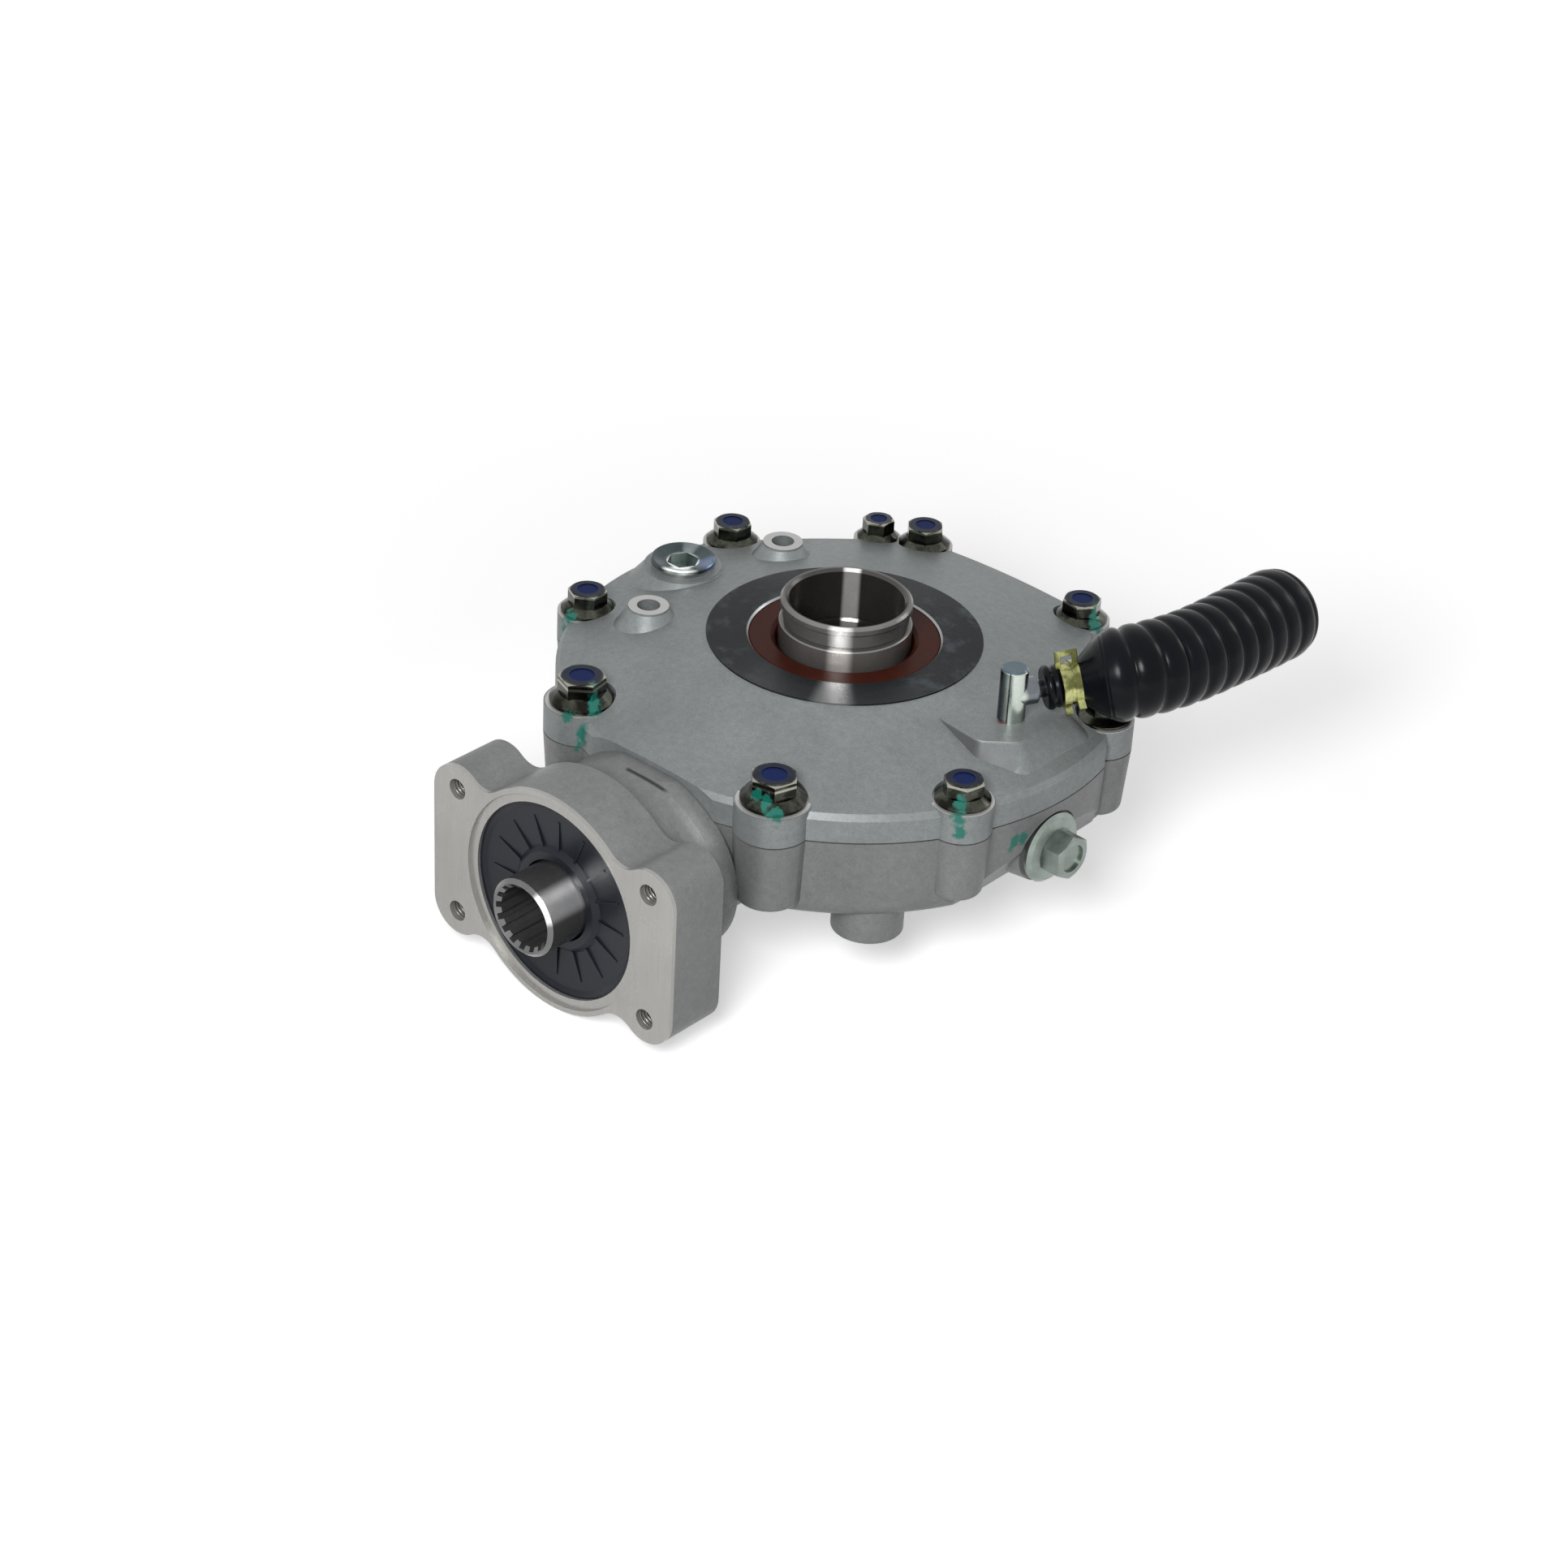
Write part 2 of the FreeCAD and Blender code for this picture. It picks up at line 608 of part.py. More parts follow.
def locating_dowels():
    pins = []
    for angle in dowel_angles:
        x, y = on_circle(dowel_circle_radius, angle)
        pins.append(cylinder(dowel_radius, case_top - dowel_length / 2,
                             case_top + gasket_thickness + dowel_length / 2, x, y))
    return Part.makeCompound(pins)


def flange_bolt(radius, across_flats, flange_radius, head_height, length):
    """Flange-head bolt that stands on z = 0, its shank downwards."""
    corner = across_flats / math.sqrt(3)
    lip = 0.14 * head_height
    shoulder = 0.38 * head_height
    skirt = revolved([(0, 0), (flange_radius - 0.3, 0), (flange_radius, 0.3), (flange_radius, lip),
                      (corner - 0.3, shoulder), (0, shoulder)])
    head = chamfered_hexagon(across_flats, 0, head_height)
    dish = cylinder(across_flats * 0.3, head_height - 0.6, head_height + 1)
    shank = revolved([(0, -length), (radius - 1, -length), (radius, -length + 1), (radius, 0.1), (0, 0.1)])
    return skirt.fuse([head, shank]).cut(dish)


def joint_bolts(angles, radius, across_flats, flange_radius, head_height, grip):
    length = parting_drop - bolt_seat_drop + gasket_thickness + grip - 1.5
    bolt = flange_bolt(radius, across_flats, flange_radius, head_height, length)
    placed = []
    for angle in angles:
        x, y = at_bolt(angle)
        placed.append(moved(turned(bolt, 1.7 * angle), x, y, -bolt_seat_drop))
    return Part.makeCompound(placed)


def fill_plug():
    seat = -fill_boss_drop + 1.2
    head = revolved([(0, seat), (10.8, seat), (11.2, seat + 0.4), (11.2, seat + 1.4), (10.8, seat + 1.8),
                     (10.3, seat + 1.8), (6.6, seat + 0.4), (0, seat + 0.4)])
    stem = cylinder(fill_thread_radius, seat - 10, seat + 0.1)
    socket = hexagon(10, seat - 5.0, seat + 2)
    return moved(head.fuse(stem).cut(socket), -fill_plug_offset)


def fill_plug_gasket():
    return tube(10.4, fill_thread_radius, -fill_boss_drop, -fill_boss_drop + 1.2, -fill_plug_offset)


def to_drain(shape):
    """Lay a shape built along +Z on the drain hole, its z = 0 on the boss face."""
    copy = shape.copy()
    copy.rotate(V(0, 0, 0), V(0, 1, 0), 90)
    copy.translate(V(drain_face_radius, 0, -drain_drop))
    return turned(copy, drain_angle)


def drain_plug():
    washer = 1.5
    skirt = revolved([(0, washer), (12.2, washer), (12.4, washer + 1.2), (11.2, washer + 2.4), (8.2, washer + 3.4),
                      (0, washer + 3.4)])
    head = chamfered_hexagon(14, washer, washer + 10.5)
    dish = cylinder(4.9, washer + 9.6, washer + 12)
    stem = cylinder(drain_thread_radius, -8, washer + 0.1)
    return to_drain(skirt.fuse([head, stem]).cut(dish))


def drain_plug_gasket():
    return to_drain(tube(11, drain_thread_radius, 0, 1.5))


def nipple_frame(shape):
    """Lay a shape built along +Z on the vent's side nipple, its z = 0 on the pin's axis."""
    copy = shape.copy()
    copy.rotate(V(0, 0, 0), V(0, 1, 0), 90)
    copy.rotate(V(0, 0, 0), V(0, 0, 1), vent_nipple_angle)
    copy.translate(V(vent_x, vent_y, -vent_pad_drop + vent_nipple_height))
    return copy


def vent_fitting():
    foot = -vent_pad_drop
    top = foot + vent_pin_height
    pin = revolved([(0, foot), (vent_pin_radius, foot), (vent_pin_radius, top - 0.8),
                    (vent_pin_radius - 0.8, top), (0, top)])
    stem = cylinder(vent_stem_radius, foot - 11, foot + 0.1)
    body = moved(pin.fuse(stem), vent_x, vent_y)
    spout = nipple_frame(revolved([(0, 0), (4.6, 0), (4.6, 7.6), (3.0, 8.4), (3.0, 22), (0, 22)]))
    bore = nipple_frame(cylinder(1.6, 0, 23))
    drilling = cylinder(1.6, foot - 12, foot + vent_nipple_height, vent_x, vent_y)
    return body.fuse(spout).cut(bore).cut(drilling)


def route_path():
    """The bellows' centre line: straight runs joined by tangent arcs."""
    points = [V(*corner) for corner in bellows_route]
    edges = []
    start = points[0]
    for index in range(1, len(points) - 1):
        before = points[index - 1] - points[index]
        after = points[index + 1] - points[index]
        trim = 0.45 * min(before.Length, after.Length)
        before.normalize()
        after.normalize()
        first = points[index] + before * trim
        last = points[index] + after * trim
        bisector = (before + after).normalize()
        half = before.getAngle(after) / 2
        radius = trim * math.tan(half)
        centre = points[index] + bisector * (trim / math.cos(half))
        middle = centre - bisector * radius
        edges.append(Part.makeLine(start, first))
        edges.append(Part.Arc(first, middle, last).toShape())
        start = last
    edges.append(Part.makeLine(start, points[-1]))
    return Part.Wire(edges)


def place_on_route(shape, path, distance):
    """Turn a shape built along +Z to the route's direction at a distance along it."""
    travelled = 0.0
    for edge in path.Edges:
        if distance <= travelled + edge.Length or edge.isSame(path.Edges[-1]):
            parameter = edge.getParameterByLength(min(distance - travelled, edge.Length))
            point = edge.valueAt(parameter)
            direction = edge.tangentAt(parameter)
            break
        travelled += edge.Length
    copy = shape.copy()
    copy.Placement = FreeCAD.Placement(point, FreeCAD.Rotation(V(0, 0, 1), direction))
    return copy


def bellows_fold(valley, crest, half):
    """One rounded fold, centred on z = 0."""
    return revolved([(0, -half), (valley, -half), (crest - 0.35, -half * 0.62), (crest, -half * 0.3),
                     (crest, half * 0.3), (crest - 0.35, half * 0.62), (valley, half), (0, half)])


def vent_bellows():
    path = route_path()
    length = path.Length
    first_fold = 23.0
    tail_length = 8.0
    pitch = (length - first_fold - tail_length) / bellows_folds
    start = path.Edges[0].valueAt(path.Edges[0].FirstParameter)
    heading = path.Edges[0].tangentAt(path.Edges[0].FirstParameter)
    circle = Part.Wire(Part.makeCircle(bellows_neck_radius, start, heading))
    pieces = []
    for index in range(bellows_folds):
        swell = (0.80, 0.93, 0.98)[index] if index < 3 else 1.0
        fold = bellows_fold(bellows_valley_radius * swell, bellows_radius * swell, pitch / 2 + 0.2)
        pieces.append(place_on_route(fold, path, first_fold + pitch * (index + 0.5)))
    shoulder = revolved([(0, 0), (bellows_neck_radius + 0.4, 0), (bellows_neck_radius + 1.8, 2.2),
                         (bellows_valley_radius * 0.62, 5.5), (bellows_valley_radius * 0.80, 9.5), (0, 9.5)])
    pieces.append(place_on_route(shoulder, path, first_fold - 9.0))
    tail = revolved([(0, -1), (bellows_valley_radius, -1), (bellows_radius - 0.2, 0.6), (bellows_radius, 2.0),
                     (bellows_radius - 0.5, 4.6), (bellows_radius - 2.2, 6.8), (bellows_radius - 5.5, 7.8), (0, 8.0)])
    pieces.append(place_on_route(tail, path, length - tail_length))
    collar = revolved([(0, 0), (bellows_collar_radius - 0.9, 0), (bellows_collar_radius, 0.9),
                       (bellows_collar_radius, 3.0), (bellows_neck_radius, 4.2), (0, 4.2)])
    pieces.append(place_on_route(collar, path, 0))
    core = path.makePipeShell([circle], True, False)
    body = core.fuse(pieces)
    spout = nipple_frame(cylinder(3.0, 5, 22))
    return body.cut(spout).removeSplitter()


def vent_clip():
    """Spring band clip with its two upright ears."""
    path = route_path()
    width = 6.4
    band = tube(bellows_neck_radius + 1.3, bellows_neck_radius + 0.1, 0, width)
    band = band.cut(tube(40, bellows_neck_radius + 0.9, width * 0.38, width * 0.62))
    gap = Part.makeBox(8, 1.8, width + 2, V(3, -0.9, -1))
    ears = []
    for side in (1, -1):
        ears.append(Part.makeBox(3.6, 1.1, width * 0.36, V(bellows_neck_radius + 0.6, side * 1.5 - 0.55,
                                                         0 if side > 0 else width * 0.64)))
    clip = band.cut(gap).fuse(ears)
    clip.rotate(V(0, 0, 0), V(0, 0, 1), 200)
    return place_on_route(clip, path, 5.4)


def oil_seal(inner, outer, low, high):
    """Rubber-covered lip seal: an outer wall, a face and a lip that leans on the shaft."""
    wall = 1.6
    web = 1.8
    lip = inner + lip_gap
    return revolved([(outer, low), (outer, high - 0.5), (outer - 0.5, high), (lip + 2.6, high), (lip + 1.2, high - 1.0),
                     (lip + 0.6, high - web - 0.4), (lip + 1.4, high - web - 1.4), (lip, low + 1.6),
                     (lip + 2.2, low + 1.0), (lip + 3.0, high - web - 0.6), (outer - wall, high - web),
                     (outer - wall, low)])


def ball_bearing(inner, outer, low, width, ball_radius, count):
    """Deep-groove bearing along Z: outer ring, inner ring, balls and cage."""
    high = low + width
    middle = (low + high) / 2
    pitch = (inner + outer) / 2
    groove = Part.makeTorus(pitch, ball_radius + running_gap * 2, V(0, 0, middle))
    land = ball_radius * 0.62
    outer_ring = tube(outer, pitch + land, low, high).cut(groove)
    inner_ring = tube(pitch - land, inner, low, high).cut(groove)
    balls = []
    pockets = []
    for index in range(count):
        x, y = on_circle(pitch, 360.0 * index / count)
        balls.append(Part.makeSphere(ball_radius, V(x, y, middle)))
        pocket = Part.makeCylinder(ball_radius + running_gap, 12, V(pitch - 6, 0, middle), V(1, 0, 0))
        pockets.append(turned(pocket, 360.0 * index / count))
    cage = tube(pitch + land * 0.55, pitch - land * 0.55, middle - ball_radius - 0.8, middle + ball_radius + 0.8)
    cage = cage.cut(Part.makeCompound(pockets))
    return outer_ring, inner_ring, Part.makeCompound(balls), cage


def carrier():
    """One-piece differential case with its two trunnions, the ring gear seat and two windows."""
    top = -carrier_top_drop
    bottom = -carrier_bottom_drop
    seat_top = -ring_web_drop - 5.5
    waist = sleeve_radius - 1.2
    sleeve = revolved([(0, top - 1), (sleeve_radius, top - 1), (sleeve_radius, 5.0), (sleeve_radius - 0.4, 5.4),
                       (waist - 0.5, 5.6), (waist - 0.5, 6.2), (waist, 6.5), (waist, 10.6), (waist - 0.4, 10.8),
                       (waist - 0.4, 11.3), (sleeve_radius - 0.2, 11.5), (sleeve_radius - 0.2, sleeve_stickout - 0.8),
                       (sleeve_radius - 1.0, sleeve_stickout), (0, sleeve_stickout)])
    lower_end = -hub_face_drop + 3.5
    lower_sleeve = revolved([(0, lower_end), (sleeve_radius - 1, lower_end), (sleeve_radius, lower_end + 1),
                             (sleeve_radius, bottom + 1), (0, bottom + 1)])
    barrel = cylinder(carrier_radius, bottom, top)
    disc = revolved([(0, seat_top - carrier_flange_thickness), (carrier_flange_radius, seat_top - carrier_flange_thickness),
                     (carrier_flange_radius, seat_top - 2.4), (carrier_flange_radius - 1.5, seat_top), (0, seat_top)])
    body = barrel.fuse([sleeve, lower_sleeve, disc])
    chamber = Part.makeSphere(carrier_ball_radius, V(0, 0, carrier_centre))
    chamber = chamber.common(cylinder(40, carrier_centre - carrier_cavity_half, carrier_centre + carrier_cavity_half))
    window = Part.makeBox(2 * carrier_window_half, 4 * carrier_radius, 2 * carrier_cavity_half - 5,
                          V(-carrier_window_half, -2 * carrier_radius, carrier_centre - carrier_cavity_half + 2.5))
    keep = cylinder(carrier_flange_radius + 1, seat_top - carrier_flange_thickness, seat_top).cut(
        cylinder(carrier_radius - 4, seat_top - 20, seat_top + 1))
    bore = cylinder(side_hub_radius + running_gap, lower_end - 1, sleeve_stickout + 1)
    upper_bore = cylinder(sleeve_bore_radius, top, sleeve_stickout + 1)
    lower_bore = cylinder(sleeve_bore_radius, lower_end - 1, bottom)
    groove = cylinder(sleeve_bore_radius + 1.1, -6.0, -4.4)
    pin_hole = Part.makeCylinder(cross_pin_radius, 2 * carrier_radius + 2, V(-carrier_radius - 1, 0, carrier_centre),
                                 V(1, 0, 0))
    lock_hole = cylinder(lock_pin_radius, bottom - 1, carrier_centre + cross_pin_radius + 2, carrier_radius - 3.6, 0)
    holes = []
    for index in range(ring_bolt_count):
        x, y = on_circle(ring_bolt_circle_radius, 360.0 * (index + 0.5) / ring_bolt_count)
        holes.append(cylinder(ring_bolt_radius + 0.1, seat_top - 20, seat_top + 1, x, y))
    body = body.cut(chamber).cut(window.cut(keep))
    for cutter in [bore, upper_bore, lower_bore, groove, pin_hole, lock_hole] + holes:
        body = body.cut(cutter)
    mouth = revolved([(0, sleeve_stickout + 0.1), (sleeve_bore_radius + 1.0, sleeve_stickout + 0.1),
                      (sleeve_bore_radius - 0.1, sleeve_stickout - 1.0), (0, sleeve_stickout - 1.0)])
    return body.cut(mouth).removeSplitter()


def ring_gear():
    """Crown wheel: teeth face down to the pinion, its inner web sits on the differential case."""
    cone = math.atan2(ring_pitch_radius, ring_pitch_radius / drive_ratio)
    reach = math.hypot(ring_pitch_radius, ring_pitch_radius / drive_ratio)
    module = 2 * ring_pitch_radius / ring_teeth
    high = module * (1 - drive_shift)
    toe = (reach - drive_face_width) / reach

    def at(scale, height):
        return (scale * (reach * math.sin(cone) + height * math.cos(cone)),
                scale * (reach * math.cos(cone) - height * math.sin(cone)))

    tip_heel = at(1.0, high)
    tip_toe = at(toe, high)
    back = pinion_drop - ring_back_drop
    web_top = pinion_drop - ring_web_drop
    web_low = web_top - 5.5
    heel_back = at(1.0, -module * (1 + tooth_clearance + drive_shift) - 1.2)
    blank = revolved([(ring_inner_radius, web_low), (tip_toe[0] - 3.5, web_low), tip_toe,
                      tip_heel, heel_back, (heel_back[0], back), (ring_inner_radius + 15.0, back),
                      (ring_inner_radius + 13.5, web_top), (ring_inner_radius, web_top)])
    gear = bevel_gear(ring_teeth, ring_pitch_radius, ring_pitch_radius / drive_ratio, -drive_shift,
                      drive_pressure_angle, drive_face_width, blank)
    gear = turned(gear, -90)
    holes = []
    for index in range(ring_bolt_count):
        x, y = on_circle(ring_bolt_circle_radius, 360.0 * (index + 0.5) / ring_bolt_count)
        holes.append(cylinder(ring_bolt_radius, web_low - 1, web_top + 1, x, y))
    return moved(gear.cut(Part.makeCompound(holes)), z=-pinion_drop)


def ring_gear_bolts():
    seat_low = -ring_web_drop - 5.5 - carrier_flange_thickness
    head = chamfered_hexagon(12, 0, 5)
    head = head.fuse(cylinder(7.2, 0, 1.0))
    shank = cylinder(ring_bolt_radius, -10.3, 0.1)
    bolt = head.fuse(shank)
    bolt.rotate(V(0, 0, 0), V(1, 0, 0), 180)
    placed = []
    for index in range(ring_bolt_count):
        angle = 360.0 * (index + 0.5) / ring_bolt_count
        x, y = on_circle(ring_bolt_circle_radius, angle)
        placed.append(moved(turned(bolt, angle), x, y, seat_low))
    return Part.makeCompound(placed)


def pinion_shaft():
    """Bevel pinion in one piece with its shaft, built along the input axis."""
    pitch = ring_pitch_radius / drive_ratio
    cone = math.atan2(pitch, ring_pitch_radius)
    reach = math.hypot(pitch, ring_pitch_radius)
    module = 2 * pitch / pinion_teeth
    high = module * (1 + drive_shift)
    toe = (reach - drive_face_width) / reach

    def at(scale, height):
        return (scale * (reach * math.sin(cone) + height * math.cos(cone)),
                scale * (reach * math.cos(cone) - height * math.sin(cone)))

    tip_heel = at(1.0, high)
    tip_toe = at(toe, high)
    root_heel = at(1.0, -module * (1 + tooth_clearance - drive_shift) - 0.8)
    root_toe = at(toe, -module * (1 + tooth_clearance - drive_shift) - 0.8)
    blank = revolved([(0, root_toe[1]), (root_toe[0], root_toe[1]), tip_toe, tip_heel, root_heel,
                      (0, root_heel[1])])
    gear = bevel_gear(pinion_teeth, pitch, ring_pitch_radius, drive_shift, drive_pressure_angle,
                      drive_face_width, blank)
    gear = turned(gear, 90 + 180.0 / pinion_teeth)
    hub_start = root_heel[1] - 0.5
    spline_outer = coupler_spline_minor + coupler_spline_depth - 0.1
    stem = revolved([(0, hub_start), (pinion_hub_radius, hub_start), (pinion_hub_radius, main_bearing_start),
                     (main_bearing_inner_radius, main_bearing_start),
                     (main_bearing_inner_radius, main_bearing_start + main_bearing_width),
                     (spline_outer, main_bearing_start + main_bearing_width),
                     (spline_outer, shaft_end_reach - 1), (spline_outer - 1, shaft_end_reach), (0, shaft_end_reach)])
    spline_start = main_bearing_start + main_bearing_width
    teeth = spline_spaces(coupler_spline_teeth, coupler_spline_minor, coupler_spline_depth,
                          spline_start, shaft_end_reach, 0.05)
    core = cylinder(coupler_spline_minor - 0.1, spline_start - 0.1, shaft_end_reach)
    splined = core.fuse(teeth).common(stem)
    plain = stem.cut(cylinder(40, spline_start, shaft_end_reach + 1))
    clip_groove = tube(20, coupler_spline_minor - 0.9, shaft_end_reach - 4.2, shaft_end_reach - 2.8)
    shaft = plain.fuse(splined).cut(clip_groove)
    return on_input(gear.fuse(shaft).removeSplitter())


def coupler_circlip():
    low = shaft_end_reach - 4.1
    clip = tube(coupler_spline_minor + 0.5, coupler_spline_minor - 0.9, low, low + 1.2)
    return on_input(clip.cut(Part.makeBox(20, 3.4, 3, V(0, -1.7, low - 1))))


def input_coupler():
    start = main_bearing_start + main_bearing_width
    body = revolved([(0, start), (coupler_radius, start), (coupler_radius, coupler_reach - 1.2),
                     (coupler_radius - 1.2, coupler_reach), (0, coupler_reach)])
    grooves = spline_spaces(coupler_spline_teeth, coupler_spline_minor, coupler_spline_depth,
                            start - 1, coupler_reach + 1)
    mouth = revolved([(0, coupler_reach + 0.1), (coupler_spline_minor + 1.9, coupler_reach + 0.1),
                      (coupler_spline_minor - 0.1, coupler_reach - 1.6), (0, coupler_reach - 1.6)])
    recess = cylinder(coupler_spline_minor + coupler_spline_depth + 0.3, shaft_end_reach - 4.2, shaft_end_reach + 2)
    body = body.cut(cylinder(coupler_spline_minor, start - 1, coupler_reach + 1)).cut(grooves)
    return on_input(body.cut(mouth).cut(recess))


def dust_shield():
    """Black moulded disc that closes the flange bore round the coupler."""
    front = flange_reach - shield_face_inset
    back = front - shield_thickness
    hole = coupler_radius + shield_gap
    disc = revolved([(hole, back), (flange_bore_radius, back), (flange_bore_radius, front),
                     (flange_bore_radius - 1.2, front), (flange_bore_radius - 2.4, front - 0.9),
                     (hole + 4.5, front - 1.6), (hole + 2.6, front + 0.2), (hole, front + 0.2)])
    ribs = []
    for index in range(16):
        rib = Part.makeBox(10.5, 0.8, 1.2, V(hole + 4.2, -0.4, front - 2.0))
        ribs.append(turned(rib, 360.0 * index / 16))
    return on_input(disc.fuse(ribs).removeSplitter())


def retainer_nut():
    """Ring nut that clamps the main bearing and holds the input seal."""
    low = main_bearing_start + main_bearing_width
    high = low + retainer_width
    body = revolved([(input_seal_outer_radius - 1.5, low), (retainer_radius, low), (retainer_radius, high),
                     (input_seal_outer_radius, high), (input_seal_outer_radius, high - seal_width),
                     (input_seal_outer_radius - 1.5, high - seal_width)])
    notches = [turned(Part.makeBox(6, 5, 3, V(input_seal_outer_radius + 1.5, -2.5, high - 2.5)), 90 * index)
               for index in range(4)]
    return on_input(body.cut(Part.makeCompound(notches)))


def needle_bearing():
    """Drawn-cup needle bearing behind the pinion: the cup and its needles in one group."""
    needle = (needle_bore_radius - pinion_hub_radius - 1.0) / 2 - running_gap
    pitch = pinion_hub_radius + needle + running_gap
    low = needle_start
    high = low + needle_width
    cup = revolved([(needle_bore_radius - 1.0, low), (needle_bore_radius, low), (needle_bore_radius, high),
                    (pinion_hub_radius + 0.5, high), (pinion_hub_radius + 0.5, high - 1.0),
                    (needle_bore_radius - 1.0, high - 1.0)])
    needles = []
    for index in range(18):
        x, y = on_circle(pitch, 20.0 * index)
        needles.append(cylinder(needle, low + 0.8, high - 1.3, x, y))
    return on_input(cup), on_input(Part.makeCompound(needles))


def side_gear():
    """Differential side gear for the upper side, apex at the origin, with its splined bore."""
    mate = side_pitch_radius * spider_teeth / side_teeth
    cone = math.atan2(side_pitch_radius, mate)
    reach = math.hypot(side_pitch_radius, mate)
    module = 2 * side_pitch_radius / side_teeth
    high = module * (1 - spider_shift)
    toe = (reach - spider_face_width) / reach

    def at(scale, height):
        return (scale * (reach * math.sin(cone) + height * math.cos(cone)),
                scale * (reach * math.cos(cone) - height * math.sin(cone)))

    tip_heel = at(1.0, high)
    tip_toe = at(toe, high)
    heel_back = at(1.0, -module * (1 + tooth_clearance + spider_shift) - 0.5)
    back = carrier_cavity_half - washer_thickness - 0.1
    hub_top = -carrier_top_drop - carrier_centre - 0.6
    blank = revolved([(0, tip_toe[1] + 1.2), (tip_toe[0] - 0.8, tip_toe[1] + 1.2), tip_toe, tip_heel, heel_back,
                      (heel_back[0], back), (side_hub_radius, back), (side_hub_radius, hub_top), (0, hub_top)])
    gear = bevel_gear(side_teeth, side_pitch_radius, mate, -spider_shift, spider_pressure_angle,
                      spider_face_width, blank)
    gear = turned(gear, 180.0 / side_teeth)
    grooves = spline_spaces(side_spline_teeth, side_spline_minor, side_spline_depth, 0, hub_top + 1)
    return gear.cut(cylinder(side_spline_minor, -1, hub_top + 1)).cut(grooves)


def spider_gear():
    """Differential pinion along +X, apex at the origin, with its spherical back."""
    pitch = side_pitch_radius * spider_teeth / side_teeth
    cone = math.atan2(pitch, side_pitch_radius)
    reach = math.hypot(pitch, side_pitch_radius)
    module = 2 * pitch / spider_teeth
    high = module * (1 + spider_shift)
    toe = (reach - spider_face_width) / reach

    def at(scale, height):
        return (scale * (reach * math.sin(cone) + height * math.cos(cone)),
                scale * (reach * math.cos(cone) - height * math.sin(cone)))

    tip_heel = at(1.0, high)
    tip_toe = at(toe, high)
    root_toe = at(toe, -module * (1 + tooth_clearance - spider_shift) - 0.4)
    back = carrier_ball_radius - washer_thickness - 0.1
    blank = revolved([(0, root_toe[1]), (root_toe[0], root_toe[1]), tip_toe, tip_heel,
                      (tip_heel[0] - 1.4, back), (0, back)])
    blank = blank.common(Part.makeSphere(back, V(0, 0, 0)))
    gear = bevel_gear(spider_teeth, pitch, side_pitch_radius, spider_shift, spider_pressure_angle,
                      spider_face_width, blank)
    gear = gear.cut(cylinder(cross_pin_radius + running_gap, -1, back + 1))
    gear.rotate(V(0, 0, 0), V(0, 1, 0), 90)
    return gear


def spider_washer():
    """Dished washer behind a spider gear, along +X."""
    shell = Part.makeSphere(carrier_ball_radius - 0.05).cut(
        Part.makeSphere(carrier_ball_radius - washer_thickness))
    washer = shell.common(tube(11.0, cross_pin_radius + 0.1, 10, 30))
    washer.rotate(V(0, 0, 0), V(0, 1, 0), 90)
    return washer


def side_washer():
    top = carrier_centre + carrier_cavity_half
    return tube(17.6, side_hub_radius + 0.15, top - washer_thickness, top)


def mirrored_down(shape):
    """The same piece turned over about the cross pin's axis for the lower side."""
    copy = shape.copy()
    copy.rotate(V(0, 0, 0), V(1, 0, 0), 180)
    return copy


def cross_pin():
    length = 2 * (carrier_radius - 0.4)
    pin = Part.makeCylinder(cross_pin_radius, length, V(-length / 2, 0, carrier_centre), V(1, 0, 0))
    return pin.cut(cylinder(lock_pin_radius, carrier_centre - 10, carrier_centre + 10, carrier_radius - 3.6, 0))


def cross_pin_lock_pin():
    return cylinder(lock_pin_radius, -carrier_bottom_drop + 2, carrier_centre + cross_pin_radius + 2,
                    carrier_radius - 3.6, 0)


